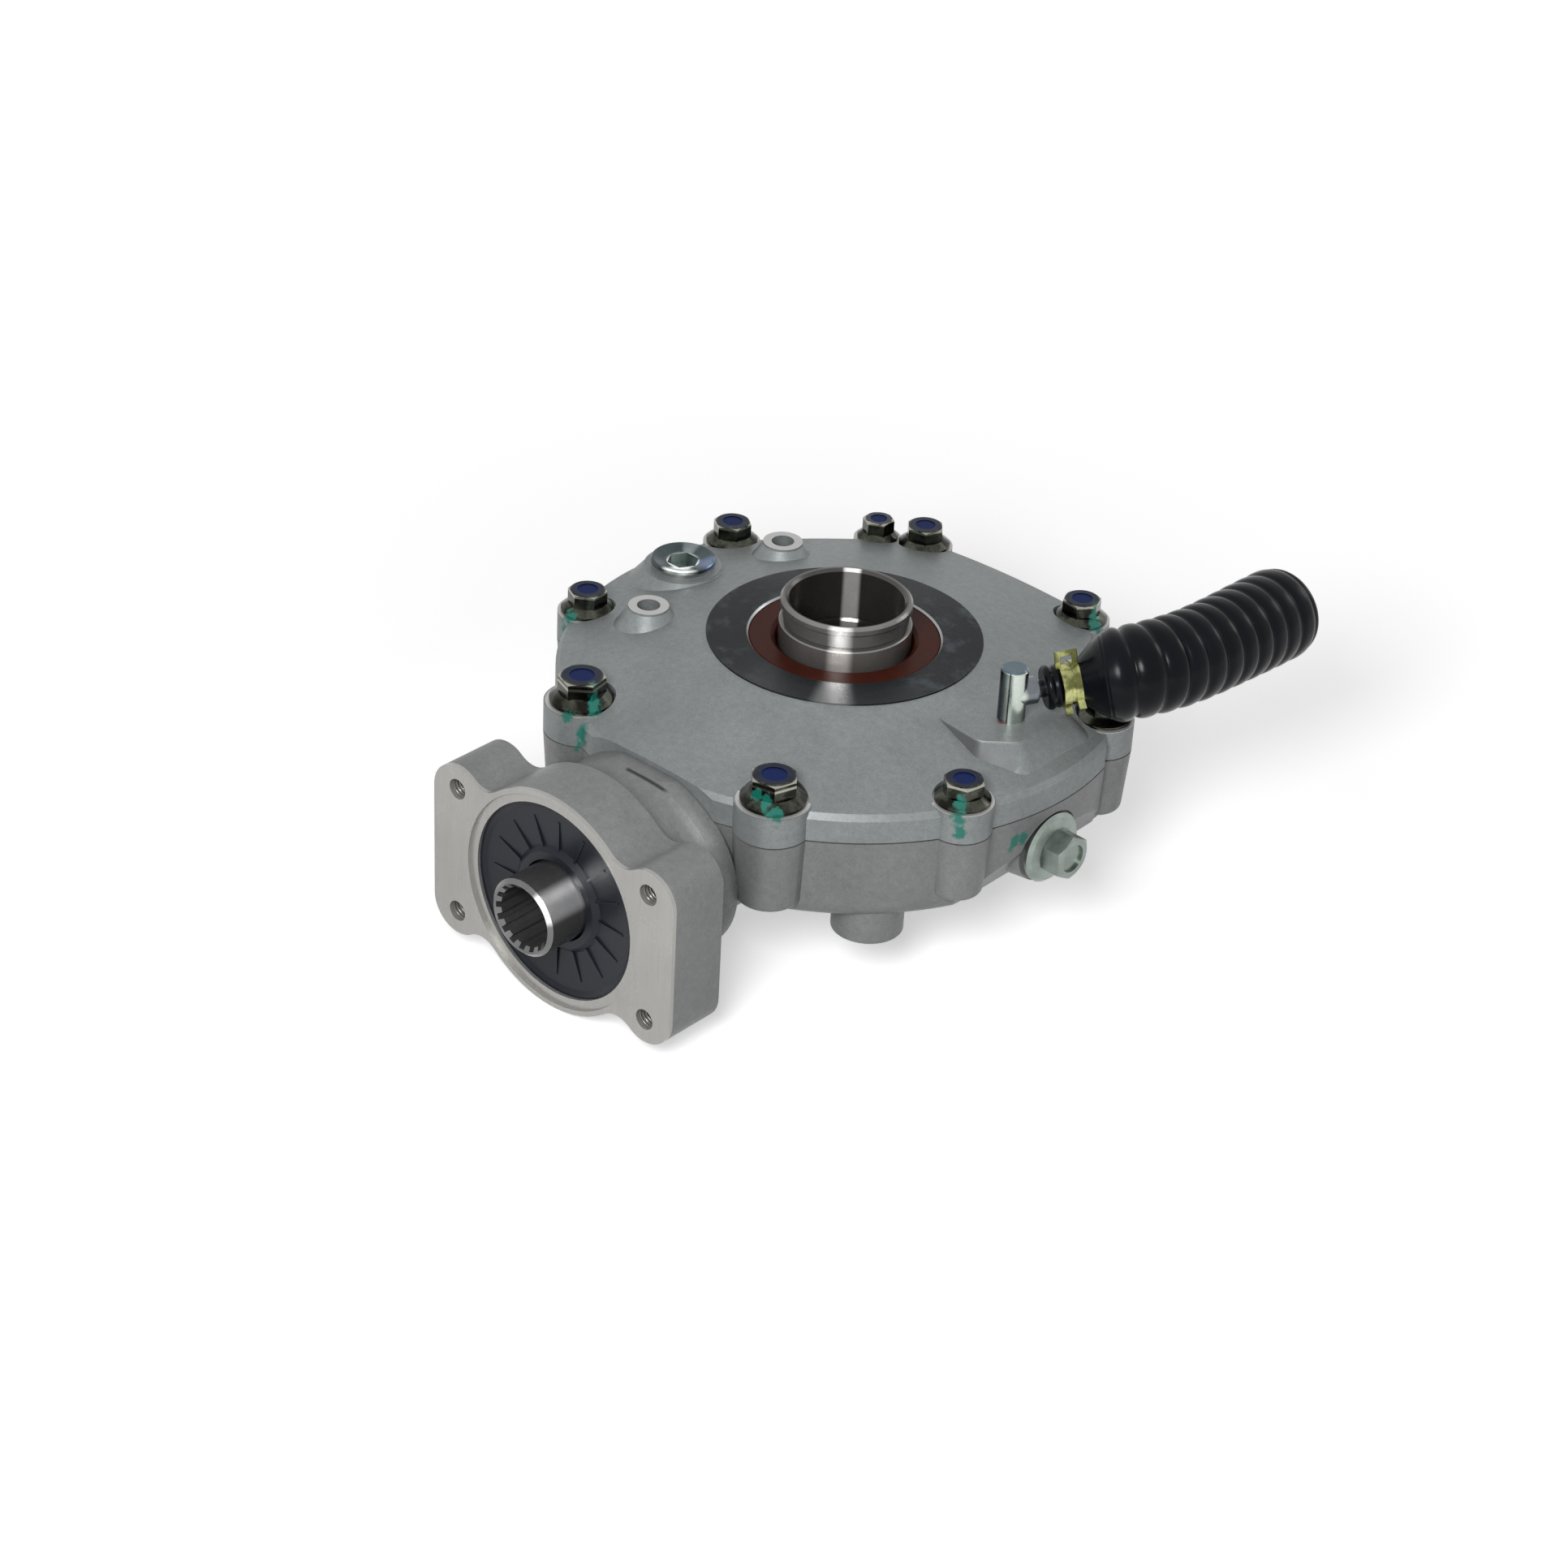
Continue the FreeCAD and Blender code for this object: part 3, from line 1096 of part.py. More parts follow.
def build():
    pieces = {}
    pieces["cover"] = cover()
    pieces["case"] = case()
    pieces["cover_gasket"] = cover_gasket()
    pieces["locating_dowels"] = locating_dowels()
    pieces["cover_bolts_m8"] = joint_bolts(m8_angles, m8_radius, 12, m8_flange_radius, 8.0, m8_grip_in_case)
    pieces["cover_bolts_m10"] = joint_bolts(m10_angles, m10_radius, 14, m10_flange_radius, 9.6, m10_grip_in_case)
    pieces["cover_bolt_m6"] = joint_bolts((m6_angle,), m6_radius, 10, m6_flange_radius, 7.6, m6_grip_in_case)
    pieces["fill_plug"] = fill_plug()
    pieces["fill_plug_gasket"] = fill_plug_gasket()
    pieces["drain_plug"] = drain_plug()
    pieces["drain_plug_gasket"] = drain_plug_gasket()
    pieces["vent_fitting"] = vent_fitting()
    pieces["vent_clip"] = vent_clip()
    pieces["vent_bellows"] = vent_bellows()
    pieces["upper_oil_seal"] = oil_seal(sleeve_radius, seal_outer_radius, -seal_inset - seal_width, -seal_inset)
    lower_seal = oil_seal(sleeve_radius, seal_outer_radius, 0, seal_width)
    lower_seal.rotate(V(0, 0, 0), V(1, 0, 0), 180)
    pieces["lower_oil_seal"] = moved(lower_seal, z=-hub_face_drop + seal_inset + seal_width)
    upper_low = -bearing_pocket_depth - bearing_width
    lower_low = -lower_bearing_top_drop - bearing_width
    for name, low in (("upper", upper_low), ("lower", lower_low)):
        outer, inner, balls, cage = ball_bearing(sleeve_radius, bearing_outer_radius, low, bearing_width, 3.4, 12)
        pieces[name + "_bearing_outer_ring"] = outer
        pieces[name + "_bearing_inner_ring"] = inner
        pieces[name + "_bearing_balls"] = balls
        pieces[name + "_bearing_cage"] = cage
    outer, inner, balls, cage = ball_bearing(main_bearing_inner_radius, main_bearing_outer_radius,
                                             main_bearing_start, main_bearing_width, 4.6, 9)
    pieces["input_bearing_outer_ring"] = on_input(outer)
    pieces["input_bearing_inner_ring"] = on_input(inner)
    pieces["input_bearing_balls"] = on_input(balls)
    pieces["input_bearing_cage"] = on_input(cage)
    pieces["needle_bearing_cup"], pieces["needle_bearing_needles"] = needle_bearing()
    pieces["retainer_nut"] = retainer_nut()
    seal_high = main_bearing_start + main_bearing_width + retainer_width
    pieces["input_oil_seal"] = on_input(oil_seal(coupler_radius, input_seal_outer_radius,
                                                 seal_high - seal_width, seal_high))
    pieces["pinion_shaft"] = pinion_shaft()
    pieces["input_coupler"] = input_coupler()
    pieces["coupler_circlip"] = coupler_circlip()
    pieces["dust_shield"] = dust_shield()
    pieces["differential_case"] = carrier()
    pieces["ring_gear"] = ring_gear()
    pieces["ring_gear_bolts"] = ring_gear_bolts()
    pieces["cross_pin"] = cross_pin()
    pieces["cross_pin_lock_pin"] = cross_pin_lock_pin()
    gear = side_gear()
    pieces["upper_side_gear"] = moved(gear, z=carrier_centre)
    pieces["lower_side_gear"] = moved(mirrored_down(gear), z=carrier_centre)
    pieces["upper_side_washer"] = side_washer()
    pieces["lower_side_washer"] = moved(side_washer(), z=-2 * carrier_cavity_half + washer_thickness)
    spider = spider_gear()
    washer = spider_washer()
    for name, angle in (("right", 0), ("left", 180)):
        pieces[name + "_spider_gear"] = moved(turned(spider, angle), z=carrier_centre)
        pieces[name + "_spider_washer"] = moved(turned(washer, angle), z=carrier_centre)
    return pieces


os.makedirs("parts", exist_ok=True)
for name, shape in build().items():
    shape.exportStep(os.path.join("parts", name + ".step"))
    print(name, "solids", len(shape.Solids), "volume", round(shape.Volume, 1), "valid", shape.isValid())
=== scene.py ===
import bpy
import bmesh
import math
from functools import reduce
from mathutils import Matrix, Vector

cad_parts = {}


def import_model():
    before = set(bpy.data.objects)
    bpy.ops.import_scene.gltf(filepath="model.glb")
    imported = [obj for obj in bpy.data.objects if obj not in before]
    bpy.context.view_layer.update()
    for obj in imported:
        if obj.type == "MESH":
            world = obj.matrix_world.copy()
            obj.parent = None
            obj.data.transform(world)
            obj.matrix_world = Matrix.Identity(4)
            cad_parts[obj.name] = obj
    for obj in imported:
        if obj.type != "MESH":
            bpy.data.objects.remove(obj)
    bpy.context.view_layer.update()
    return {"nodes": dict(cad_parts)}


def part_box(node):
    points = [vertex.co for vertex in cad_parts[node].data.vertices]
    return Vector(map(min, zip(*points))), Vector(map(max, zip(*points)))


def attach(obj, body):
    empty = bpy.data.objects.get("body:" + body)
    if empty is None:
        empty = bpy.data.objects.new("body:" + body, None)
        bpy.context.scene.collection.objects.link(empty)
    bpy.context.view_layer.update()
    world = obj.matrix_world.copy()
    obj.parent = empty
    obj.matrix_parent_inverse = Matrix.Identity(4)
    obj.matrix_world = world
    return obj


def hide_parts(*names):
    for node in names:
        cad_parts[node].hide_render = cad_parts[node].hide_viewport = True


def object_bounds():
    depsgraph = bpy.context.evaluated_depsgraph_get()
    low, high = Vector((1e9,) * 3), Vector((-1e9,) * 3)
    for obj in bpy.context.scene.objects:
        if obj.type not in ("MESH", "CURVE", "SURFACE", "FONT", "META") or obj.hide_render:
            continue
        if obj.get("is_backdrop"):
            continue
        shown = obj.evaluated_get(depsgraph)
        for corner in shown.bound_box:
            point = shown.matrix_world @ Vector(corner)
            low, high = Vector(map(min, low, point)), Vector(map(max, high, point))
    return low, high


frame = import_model()
mm = 0.001


print("frame", len(frame["nodes"]), "nodes")


def srgb(red, green, blue):
    def linear(value):
        value = value / 255
        return value / 12.92 if value <= 0.04045 else ((value + 0.055) / 1.055) ** 2.4
    return (linear(red), linear(green), linear(blue), 1.0)


def put(tree, socket, value):
    if isinstance(value, bpy.types.NodeSocket):
        tree.links.new(value, socket)
    elif socket.type == "VECTOR":  # also takes a colour, without its alpha
        socket.default_value = tuple(value)[:3]
    else:
        socket.default_value = value


def addNode(tree, kind, inputs=None, **settings):
    node = tree.nodes.new(kind)
    for name, value in settings.items():
        setattr(node, name, value)
    for name, value in (inputs or {}).items():
        put(tree, node.inputs[name], value)
    return node


white = (1.0, 1.0, 1.0, 1.0)
noiseMiddle = (0.3, 0.7)  # nearly all of a noise's values lie between these


class Paint:
    def __init__(self, name, metallic=0.0, roughness=0.5, specular=0.5):
        self.material = bpy.data.materials.new(name)
        self.material.use_nodes = True
        self.tree = self.material.node_tree
        self.shader = self.tree.nodes["Principled BSDF"]
        self.finish({"Metallic": metallic, "Roughness": roughness, "Specular IOR Level": specular})
        self.coords = self.node("ShaderNodeTexCoord").outputs["Object"]

    def node(self, kind, inputs=None, **settings):
        return addNode(self.tree, kind, inputs, **settings)

    def finish(self, inputs):
        for name, value in inputs.items():
            put(self.tree, self.shader.inputs[name], value)
        return self.material

    def maths(self, operation, first, second=0.0):
        return self.node("ShaderNodeMath", {0: first, 1: second}, operation=operation).outputs[0]

    def vector(self, operation, first, second=(0, 0, 0)):
        node = self.node("ShaderNodeVectorMath", {0: first, 1: second}, operation=operation)
        return node.outputs["Value" if operation in ("DISTANCE", "LENGTH", "DOT_PRODUCT") else "Vector"]

    def axes(self):
        return self.node("ShaderNodeSeparateXYZ", {0: self.coords}).outputs

    def flat(self):  # the place seen from above, with its height left out
        return self.vector("MULTIPLY", self.coords, (1, 1, 0))

    def outward(self):  # distance from the upright axis through the origin
        return self.vector("LENGTH", self.flat())

    def noise(self, scale, detail=3.0, roughness=0.5, stretch=None, source=None):
        source = source or self.coords
        if stretch:
            source = self.vector("MULTIPLY", source, stretch)
        inputs = {"Scale": scale, "Detail": detail, "Roughness": roughness, "Vector": source}
        return self.node("ShaderNodeTexNoise", inputs).outputs["Fac"]

    def toolLines(self, stretch, source=None):  # fine lines that a cutting tool leaves
        return self.noise(1.0, 2, stretch=stretch, source=source)

    def ramp(self, value, low, high, start=0.0, end=1.0, smooth=True):
        inputs = {"Value": value, "From Min": low, "From Max": high, "To Min": start, "To Max": end}
        kind = "SMOOTHSTEP" if smooth else "LINEAR"
        return self.node("ShaderNodeMapRange", inputs, interpolation_type=kind).outputs["Result"]

    def spread(self, noise, low, high):
        return self.ramp(noise, *noiseMiddle, low, high, False)

    def times(self, *factors):
        return reduce(lambda first, second: self.maths("MULTIPLY", first, second), factors)

    def most(self, masks):
        return reduce(lambda first, second: self.maths("MAXIMUM", first, second), masks)

    def band(self, value, start, full, fading, gone):
        return self.times(self.ramp(value, start, full), self.ramp(value, fading, gone, 1.0, 0.0))

    def blend(self, factor, first, second):
        inputs = {"Factor": factor, 6: first, 7: second}  # 6 and 7 are the node's colour inputs
        return self.node("ShaderNodeMix", inputs, data_type="RGBA").outputs[2]

    def layers(self, color, value, steps):  # each step: where it starts and is full, its share, its colour
        for start, full, share, other in steps:
            color = self.blend(self.ramp(value, start, full, 0.0, share), color, other)
        return color

    def tone(self, color, noise, spread):
        return self.vector("MULTIPLY", color, self.spread(noise, 1.0 - spread, 1.0 + spread))

    def bump(self, height, strength, distance):
        inputs = {"Strength": strength, "Distance": distance, "Height": height}
        return self.node("ShaderNodeBump", inputs).outputs["Normal"]

    def facing(self, centre, axis, heading):  # 1 on the side that heading points to, -1 on the far side
        place = self.vector("SUBTRACT", self.coords, centre)
        across = self.vector("MULTIPLY", place, tuple(1.0 - abs(part) for part in axis))
        return self.vector("DOT_PRODUCT", self.vector("NORMALIZE", across), heading)


upright = (0, 0, 1)
origin = (0, 0, 0)
lightAzimuth = math.radians(36)
lightHeading = (math.sin(lightAzimuth), -math.cos(lightAzimuth), 0.0)  # the side where painted highlights sit on turned faces


weldReach = 0.001 * mm


def islands(node):  # the corners of each loose piece in a node's mesh
    mesh = bmesh.new()
    mesh.from_mesh(frame["nodes"][node].data)
    bmesh.ops.remove_doubles(mesh, verts=mesh.verts, dist=weldReach)
    seen = set()
    found = []
    for first in mesh.verts:
        if first in seen:
            continue
        seen.add(first)
        queue = [first]
        members = []
        while queue:
            vert = queue.pop()
            members.append(vert.co.copy())
            for edge in vert.link_edges:
                other = edge.other_vert(vert)
                if other not in seen:
                    seen.add(other)
                    queue.append(other)
        found.append(members)
    mesh.free()
    return found


boltFlats = {"cover_bolts_m8": 12 * mm, "cover_bolts_m10": 14 * mm, "cover_bolt_m6": 10 * mm}
rimShare = 0.9  # where a flange's rim begins, as a share of its radius
boltHeads = {}  # by the angle of their place on the cover
for nodeName, flats in boltFlats.items():
    for points in islands(nodeName):
        high = [max(point[i] for point in points) for i in range(3)]
        low = [min(point[i] for point in points) for i in range(3)]
        centre = Vector(((high[0] + low[0]) / 2, (high[1] + low[1]) / 2, high[2]))
        reach = high[0] - centre.x
        rim = [point.z for point in points if math.dist(point.xy, centre.xy) > reach * rimShare]
        angle = round(math.degrees(math.atan2(centre.y, centre.x)))
        boltHeads[angle] = {"centre": centre, "flats": flats, "flange": reach, "seat": min(rim)}
print("bolt heads", len(boltHeads))

boltPaint = {  # the reaches of the dye and of the painted corner highlights are shares of the size across flats
    "navy": srgb(16, 26, 48), "navyShare": 0.9, "navyNoise": (700, 3), "navyRagged": 0.5 * mm,
    "navyReach": (0.45, 0.50),
    # glint: a painted highlight on the top corners of each hexagon
    "glint": srgb(206, 206, 190), "glintShare": 0.5, "corner": (0.455, 0.475),
    "cornerBelow": (0.85 * mm, 0.6 * mm, 0.3 * mm, 0.1 * mm),
    "seat": srgb(196, 194, 192), "seatMetal": 0.5, "seatPast": (1.2 * mm, 1.4 * mm),
    "seatLevel": (0.12 * mm, 0.2 * mm)}


def navyMask(paint):  # the blue dye on top of each hexagon
    ragged = paint.spread(paint.noise(*boltPaint["navyNoise"]), -boltPaint["navyRagged"],
                          boltPaint["navyRagged"])
    inner, outer = boltPaint["navyReach"]
    masks = []
    for head in boltHeads.values():
        far = paint.maths("ADD", paint.vector("DISTANCE", paint.coords, head["centre"]), ragged)
        masks.append(paint.ramp(far, head["flats"] * inner, head["flats"] * outer, 1.0, 0.0))
    return paint.most(masks)


def seatMask(paint):  # the spot-faced ring that each bolt's flange stands on
    flat = paint.flat()
    height = paint.axes()["Z"]
    inner, outer = boltPaint["seatPast"]
    masks = []
    for head in boltHeads.values():
        out = paint.vector("DISTANCE", flat, (*head["centre"].xy, 0))
        level = paint.maths("ABSOLUTE", paint.maths("SUBTRACT", height, head["seat"]))
        masks.append(paint.times(paint.ramp(out, head["flange"] + inner, head["flange"] + outer, 1.0, 0.0),
                                 paint.ramp(level, *boltPaint["seatLevel"], 1.0, 0.0)))
    return paint.most(masks)


def cornerGlintMask(paint):  # painted highlight round the top corners of each hexagon
    flat = paint.flat()
    height = paint.axes()["Z"]
    inner, outer = boltPaint["corner"]
    masks = []
    for head in boltHeads.values():
        out = paint.vector("DISTANCE", flat, (*head["centre"].xy, 0))
        levels = [head["centre"].z - below for below in boltPaint["cornerBelow"]]
        masks.append(paint.times(paint.band(height, *levels),
                                 paint.ramp(out, head["flats"] * inner, head["flats"] * outer)))
    return paint.most(masks)


tealMarks = {
    "color": srgb(8, 120, 104), "share": 0.88, "metallic": 0.1, "tall": 0.62, "noise": (420, 3),
    "ragged": 1.1 * mm, "soft": (0.55, 1.25),
    "byBolt": {  # bearing from the bolt, reach, drop and radius in mm, under the bolt's angle
        -117: ((-10, 6.6, 3.2, 1.9), (-14, 8.4, 6.0, 2.5), (-22, 10.0, 8.0, 2.0)),
        -62: ((-92, 7.2, 5.0, 2.0), (-66, 8.4, 6.4, 2.4), (-44, 10.2, 9.2, 2.6)),
        -24: ((-58, 7.4, 5.4, 2.0), (-58, 9.6, 9.0, 2.3), (-54, 10.8, 13.6, 1.8)),
        66: ((-6, 6.0, 3.0, 2.0), (-14, 9.0, 7.0, 2.4), (-12, 10.4, 13.0, 2.6)),
        -156: ((-86, 8.8, 8.0, 2.2), (-88, 10.6, 13.5, 2.8), (-92, 10.8, 19.0, 2.2))},
    "apart": (  # place and radius in mm
        (-38.5, -92.5, -11.8, 1.9), (-32.8, -90.8, -16.6, 2.5), (-34.6, -91.2, -20.5, 1.5),
        (94.0, -21.0, -29.8, 2.2), (94.6, -17.8, -30.2, 2.0))}


def tealStrokes():
    strokes = [(Vector(place) * mm, radius * mm) for *place, radius in tealMarks["apart"]]
    for angle, marks in tealMarks["byBolt"].items():
        nearest = min(boltHeads, key=lambda key: abs(key - angle))
        for bearing, reach, drop, radius in marks:
            turn = math.radians(bearing)
            away = Vector((math.cos(turn) * reach, math.sin(turn) * reach, -drop)) * mm
            strokes.append((boltHeads[nearest]["centre"] + away, radius * mm))
    return strokes


def tealMask(paint):
    ragged = paint.spread(paint.noise(*tealMarks["noise"]), -tealMarks["ragged"], tealMarks["ragged"])
    squash = (1, 1, tealMarks["tall"])
    place = paint.vector("MULTIPLY", paint.coords, squash)
    inner, outer = tealMarks["soft"]
    masks = []
    for spot, radius in tealStrokes():
        middle = tuple(part * share for part, share in zip(spot, squash))
        far = paint.maths("ADD", paint.vector("DISTANCE", place, middle), ragged)
        masks.append(paint.ramp(far, radius * inner, radius * outer, 1.0, 0.0))
    return paint.most(masks)


def tealPaint(paint, color):
    mask = tealMask(paint)
    return mask, paint.blend(paint.times(mask, tealMarks["share"]), color, tealMarks["color"])


cast = {
    "cover": srgb(138, 143, 143), "case": srgb(130, 131, 131), "metallic": 0.28, "specular": 0.3,
    "roughness": (0.40, 0.52), "machinedSmoother": 0.17, "bump": 0.24, "depth": 0.25 * mm,
    "broad": (14, 3, 0.55), "patches": (60, 4, 0.6), "grain": (1500, 5, 0.65), "fine": (420, 3, 0.6),
    "spreads": {"broad": 0.09, "patches": 0.07, "grain": 0.12, "fine": 0.08},
    "speck": srgb(88, 88, 88), "speckShare": 0.3, "speckNoise": (800, 2), "speckRange": (0.70, 0.78)}


def castAluminium(name, tint, machiningAndSheen, marksAndPaintedLight):
    paint = Paint(name, cast["metallic"], specular=cast["specular"])
    noises = {layer: paint.noise(*cast[layer]) for layer in cast["spreads"]}
    color = tint
    for layer, spread in cast["spreads"].items():
        color = paint.tone(color, noises[layer], spread)
    specks = paint.ramp(paint.noise(*cast["speckNoise"]), *cast["speckRange"])
    color = paint.blend(paint.times(specks, cast["speckShare"]), color, cast["speck"])
    # the machined colour carries the ring's painted sheen and highlights, and the marks carry painted shade
    # and highlights
    mask, bright, lines, shine = machiningAndSheen(paint)
    color = marksAndPaintedLight(paint, paint.blend(mask, color, bright))
    rough = paint.spread(noises["patches"], *cast["roughness"])
    rough = paint.maths("SUBTRACT", rough, paint.times(mask, cast["machinedSmoother"]))
    seats = seatMask(paint)
    metal = paint.ramp(mask, 0.0, 1.0, cast["metallic"], shine)
    metal = paint.maths("MAXIMUM", metal, paint.times(seats, boltPaint["seatMetal"]))
    marks, color = tealPaint(paint, paint.blend(seats, color, boltPaint["seat"]))
    metal = paint.times(metal, paint.ramp(marks, 0.0, 1.0, 1.0, tealMarks["metallic"]))
    normal = paint.bump(paint.blend(mask, noises["grain"], lines), cast["bump"], cast["depth"])
    return paint.finish({"Base Color": color, "Roughness": rough, "Normal": normal, "Metallic": metal})


ring = {  # the turned ring round the upper oil seal
    "radius": 46.8 * mm, "soft": 0.05 * mm, "shine": 0.9, "toolLines": (9000, 0, 0), "lineSpread": 0.14,
    "dark": srgb(5, 8, 15), "smear": srgb(48, 56, 62), "wisps": (75, 6, 0.68), "wispRange": (0.50, 0.66),
    # sides: painted shade on the sides, painted sheen towards the light, and a painted highlight streak
    "sides": ((-0.45, -0.95, 0.9, srgb(30, 34, 35)), (0.62, 0.95, 1.0, srgb(46, 50, 53)),
              (0.982, 0.9996, 0.85, srgb(132, 133, 134))),
    # edge: a painted highlight round the rim of the seal bore
    "bore": 32.6 * mm, "edge": srgb(176, 178, 178), "edgeShare": 0.8, "edgePast": (0.35 * mm, 0.65 * mm)}
tappedBosses = {
    "x": -58.89, "y": (-34.0, 34.0), "threadsFrom": -14.8,
    "top": srgb(178, 178, 176), "topLevel": (-0.2 * mm, -0.1 * mm), "beyond": (-51 * mm, -50 * mm)}


def ringMachiningAndHighlights(paint):
    out = paint.outward()
    mask = paint.ramp(out, ring["radius"], ring["radius"] + ring["soft"], 1.0, 0.0)
    lines = paint.toolLines(ring["toolLines"], out)
    wisps = paint.ramp(paint.noise(*ring["wisps"]), *ring["wispRange"])
    bright = paint.blend(wisps, ring["dark"], ring["smear"])
    # painted shade and painted highlights by the side that faces the light
    bright = paint.layers(bright, paint.facing(origin, upright, lightHeading), ring["sides"])
    # a painted highlight on the rim of the seal bore
    inner, outer = ring["edgePast"]
    edge = paint.ramp(out, ring["bore"] + inner, ring["bore"] + outer, ring["edgeShare"], 0.0)
    bright = paint.tone(paint.blend(edge, bright, ring["edge"]), lines, ring["lineSpread"])
    place = paint.axes()
    tops = paint.times(paint.ramp(place["Z"], *tappedBosses["topLevel"]),
                       paint.ramp(place["X"], *tappedBosses["beyond"], 1.0, 0.0))
    bright = paint.blend(tops, bright, tappedBosses["top"])
    return paint.maths("MAXIMUM", mask, tops), bright, lines, ring["shine"]


# wall: painted shade on the front-facing walls of the vent's pad
pad = {"wall": srgb(92, 94, 95), "low": (52.0, -25.0, -12.5), "high": (94.0, 33.0, -2.9), "soft": 0.4,
       "reach": 88.0 * mm, "reachSoft": 0.5 * mm, "front": (0.35, 0.75)}
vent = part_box("vent_fitting")
ventPin = {
    "centre": (vent[0].x + 4.6 * mm, 1.6 * mm, 0.0), "front": (0.77, -0.64, 0.0), "left": (-0.64, -0.77, 0.0),
    # lit: a painted highlight on the front; line and edge: painted shade on the left side
    "lit": (0.55, 0.8, 1.0, srgb(190, 198, 190)), "line": (0.42, 0.47, 0.52, 0.57), "edge": (0.85, 0.95),
    "shade": srgb(70, 74, 80), "cap": srgb(92, 106, 114), "capBelow": (0.7 * mm, 0.4 * mm),
    "nipple": srgb(58, 62, 76), "nipplePast": (7.0 * mm, 7.4 * mm)}
redRing = {  # the red sealant that shows at the vent's foot
    "color": srgb(120, 38, 44), "place": (ventPin["centre"][0], -2.4 * mm, -2.5 * mm),
    "reach": (1.32 * mm, 2.2 * mm), "share": 0.8}


def padFrontShade(paint):  # painted shade on the vent pad's walls that face the front, darker than its top
    soft = pad["soft"]
    sides = [paint.band(axis, (low - soft) * mm, (low + soft) * mm, (high - soft) * mm, (high + soft) * mm)
             for axis, low, high in zip(paint.axes(), pad["low"], pad["high"])]
    inside = paint.ramp(paint.outward(), pad["reach"] - pad["reachSoft"], pad["reach"], 1.0, 0.0)
    normal = paint.node("ShaderNodeNewGeometry").outputs["Normal"]
    front = paint.ramp(paint.vector("DOT_PRODUCT", normal, (0, -1, 0)), *pad["front"])
    return paint.times(*sides, inside, front)


def coverShadeAndSealant(paint, color):
    # painted shade on the pad's front walls, then the red sealant
    color = paint.blend(padFrontShade(paint), color, pad["wall"])
    near = paint.ramp(paint.vector("DISTANCE", paint.coords, redRing["place"]), *redRing["reach"],
                      redRing["share"], 0.0)
    return paint.blend(near, color, redRing["color"])


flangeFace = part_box("case")[0].y
flange = {"color": srgb(168, 167, 163), "depth": (1.4 * mm, 1.5 * mm), "shine": 0.45,
          "clouds": (40, 3), "cloudSpread": 0.05, "lines": (900, 3), "lineStretch": (1, 1, 0.06),
          "lineSpread": 0.04,
          "holes": [(x, z) for x in (-42.6, 42.6) for z in (-68.5, -21.5)], "threadsFrom": 1.3 * mm}
# painted shade: a dark line for the shadow in the gap where the neck meets the cover's rim
gapShade = {"color": srgb(30, 32, 32), "share": 0.9, "radius": 99.75 * mm, "soft": (0.09 * mm, 0.9 * mm),
        "x": (-6.0 * mm, -4.0 * mm, 10.5 * mm, 13.5 * mm), "y": (-90 * mm, -91 * mm),
        "z": (-16.0 * mm, -15.6 * mm)}


def flangeMachining(paint):
    near, far = flange["depth"]
    mask = paint.ramp(paint.axes()["Y"], flangeFace + near, flangeFace + far, 1.0, 0.0)
    lines = paint.noise(*flange["lines"], stretch=flange["lineStretch"])
    bright = paint.tone(flange["color"], paint.noise(*flange["clouds"]), flange["cloudSpread"])
    return mask, paint.tone(bright, lines, flange["lineSpread"]), lines, flange["shine"]


def caseGapShade(paint, color):  # painted shade: a dark line where the neck runs in under the cover's rim, for the shadow of the narrow gap there
    away = paint.maths("ABSOLUTE", paint.maths("SUBTRACT", paint.outward(), gapShade["radius"]))
    gap = paint.ramp(away, *gapShade["soft"], gapShade["share"], 0.0)
    place = paint.axes()
    mask = paint.times(gap, paint.band(place["X"], *gapShade["x"]), paint.ramp(place["Y"], *gapShade["y"]),
                       paint.ramp(place["Z"], *gapShade["z"]))
    return paint.blend(mask, color, gapShade["color"])


def boltGlintAndMarks(paint, color, metallic):
    # painted highlight on the hexagons' top corners, then the blue dye and the teal marks
    color = paint.blend(paint.times(cornerGlintMask(paint), boltPaint["glintShare"]), color, boltPaint["glint"])
    color = paint.blend(paint.times(navyMask(paint), boltPaint["navyShare"]), color, boltPaint["navy"])
    marks, color = tealPaint(paint, color)
    return color, paint.ramp(marks, 0.0, 1.0, metallic, tealMarks["metallic"])


metalGrain = {"clouds": (4, 0.6), "rough": (0.8, 1.25), "fine": (1200, 3, 0.6), "fineShare": 0.4,
              "patchScale": 0.6, "patchRange": (0.42, 0.62), "depth": 0.15 * mm}
softGrain = {"clouds": (4, 0.6), "rough": (0.82, 1.2), "fine": (900, 4, 0.6), "patchRange": (0.5, 0.72),
             "patchShare": 0.35, "bump": 0.1, "depth": 0.2 * mm}


def metalFinish(name, base, roughness, spread=0.12, scale=90, bump=0.08, second=None, metallic=1.0,
                shape=None, marksAndPaintedLight=None):
    paint = Paint(name, metallic)
    cloud = paint.noise(scale, *metalGrain["clouds"])
    fine = paint.noise(*metalGrain["fine"])
    color = paint.tone(shape(paint, base) if shape else base, cloud, spread)
    if second:
        patches = paint.noise(scale * metalGrain["patchScale"], 3)
        color = paint.blend(paint.ramp(patches, *metalGrain["patchRange"]), color, second)
    color = paint.tone(color, fine, spread * metalGrain["fineShare"])
    metal = metallic
    if marksAndPaintedLight:
        color, metal = marksAndPaintedLight(paint, color, metallic)
    rough = paint.spread(cloud, *(roughness * share for share in metalGrain["rough"]))
    return paint.finish({"Base Color": color, "Roughness": rough, "Metallic": metal,
                         "Normal": paint.bump(fine, bump, metalGrain["depth"])})


